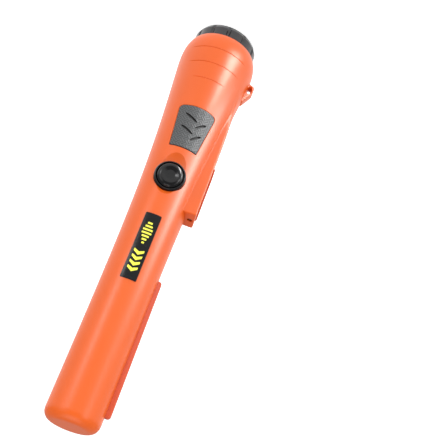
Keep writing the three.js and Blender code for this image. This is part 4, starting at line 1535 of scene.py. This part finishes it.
# Name, place, size, power, and whether it is aimed at the probe. The others lie on the floor and show in gloss.
LAMPS = (
    ("key", (-0.55, -0.5, 0.2), (0.1, 0.6), 1.6, True),
    ("fill", (0.6, -0.6, 0.3), (0.5, 0.6), 1.2, True),
    ("top", (0.0, -0.2, 0.9), (0.6, 0.6), 2.4, True),
    ("close_strip", (-0.055, -0.078, 0.003), (0.022, 0.11), 0.2, False),
    ("near_strip", (-0.2, -0.1, 0.003), (0.08, 0.22), 1.2, False),
    ("far_strip", (0.33, -0.47, 0.003), (0.1, 0.5), 2.2, False),
)
EYE = Vector((-0.02517, -0.34178, 0.29407))
TARGET = Vector((-0.03258, 0.0, 0.10777))
ROLL = 0.3451
LENS = 63.43


class PROBE_OT_stage(bpy.types.Operator):
    """Set up the floor, the lights and the camera"""

    bl_idname = "probe.stage"
    bl_label = "Stage"

    def execute(self, context):
        scene = bpy.context.scene
        white = bpy.data.materials.new("stage_white")
        white.use_nodes = True
        shader = white.node_tree.nodes["Principled BSDF"]
        shader.inputs["Base Color"].default_value = (0.8, 0.8, 0.8, 1)
        shader.inputs["Roughness"].default_value = 0.9
        shader.inputs["Emission Color"].default_value = (1, 1, 1, 1)
        shader.inputs["Emission Strength"].default_value = 0.85
        corners = [(x * FLOOR_HALF, y * FLOOR_HALF, 0) for x, y in ((-1, -1), (1, -1), (1, 1), (-1, 1))]
        floor = piece("floor", (corners, [(0, 1, 2, 3)]), white)

        world = bpy.data.worlds.new("studio")
        world.use_nodes = True
        sky = world.node_tree.nodes["Background"]
        sky.inputs["Color"].default_value = (1, 1, 1, 1)
        links = world.node_tree.links
        seen = world.node_tree.nodes.new("ShaderNodeLightPath")
        strength = world.node_tree.nodes.new("ShaderNodeMapRange")
        strength.inputs["To Min"].default_value = 0.5
        strength.inputs["To Max"].default_value = 1.0
        links.new(seen.outputs["Is Camera Ray"], strength.inputs["Value"])
        links.new(strength.outputs["Result"], sky.inputs["Strength"])
        scene.world = world
        scene.view_settings.view_transform = "Standard"

        for name, place, size, power, aimed in LAMPS:
            lamp = bpy.data.lights.new(name, "AREA")
            lamp.shape = "RECTANGLE"
            lamp.size, lamp.size_y = size
            lamp.energy = power
            lamp_object = bpy.data.objects.new(name, lamp)
            lamp_object.visible_camera = False
            scene.collection.objects.link(lamp_object)
            lamp_object.location = place
            if aimed:
                lamp_object.rotation_euler = (LAMP_AIM - Vector(place)).to_track_quat("-Z", "Y").to_euler()
            else:
                lamp_object.visible_diffuse = False
                lamp_object.rotation_euler = (math.pi, 0, math.atan2(place[1], place[0]) - math.pi / 2)

        ahead = (TARGET - EYE).normalized()
        right = ahead.cross(-UP).normalized()
        top = right.cross(ahead)
        side = right * math.cos(ROLL) + top * math.sin(ROLL)
        above = top * math.cos(ROLL) - right * math.sin(ROLL)
        turn = Matrix((side, above, -ahead)).transposed()
        data = bpy.data.cameras.new("camera")
        data.sensor_width = 36
        data.lens = LENS
        camera = bpy.data.objects.new("camera", data)
        scene.collection.objects.link(camera)
        camera.matrix_world = Matrix.Translation(EYE) @ turn.to_4x4()
        scene.camera = camera
        return {"FINISHED"}


class PROBE_PT_panel(bpy.types.Panel):
    """Lists the probe's pieces"""

    bl_idname = "PROBE_PT_panel"
    bl_label = "Pinpointer Probe"
    bl_space_type = "VIEW_3D"
    bl_region_type = "UI"
    bl_category = "Probe"

    def draw(self, context):
        for operator in OPERATORS:
            self.layout.operator(operator.bl_idname)
        for settings in (context.scene.probe_sizes, context.scene.probe_colours):
            for key in settings.__annotations__:
                self.layout.prop(settings, key)


OPERATORS = (
    PROBE_OT_stage, PROBE_OT_casing, PROBE_OT_keel, PROBE_OT_loop, PROBE_OT_blade, PROBE_OT_thumb_pad,
    PROBE_OT_label, PROBE_OT_button, PROBE_OT_cap, PROBE_OT_battery, PROBE_OT_coil, PROBE_OT_screws,
    PROBE_OT_electronics,
)
CLASSES = (ProbeSizes, ProbeColours, *OPERATORS, PROBE_PT_panel)


def register():
    """Registers the add-on's classes and settings."""
    for cls in CLASSES:
        bpy.utils.register_class(cls)
    bpy.types.Scene.probe_sizes = bpy.props.PointerProperty(type=ProbeSizes)
    bpy.types.Scene.probe_colours = bpy.props.PointerProperty(type=ProbeColours)


def unregister():
    """Removes the add-on's classes and settings."""
    del bpy.types.Scene.probe_colours
    del bpy.types.Scene.probe_sizes
    for cls in reversed(CLASSES):
        bpy.utils.unregister_class(cls)


def main():
    """Builds the whole probe."""
    register()
    for operator in OPERATORS:
        group, name = operator.bl_idname.split(".")
        getattr(getattr(bpy.ops, group), name)()


if __name__ == "__main__":
    main()
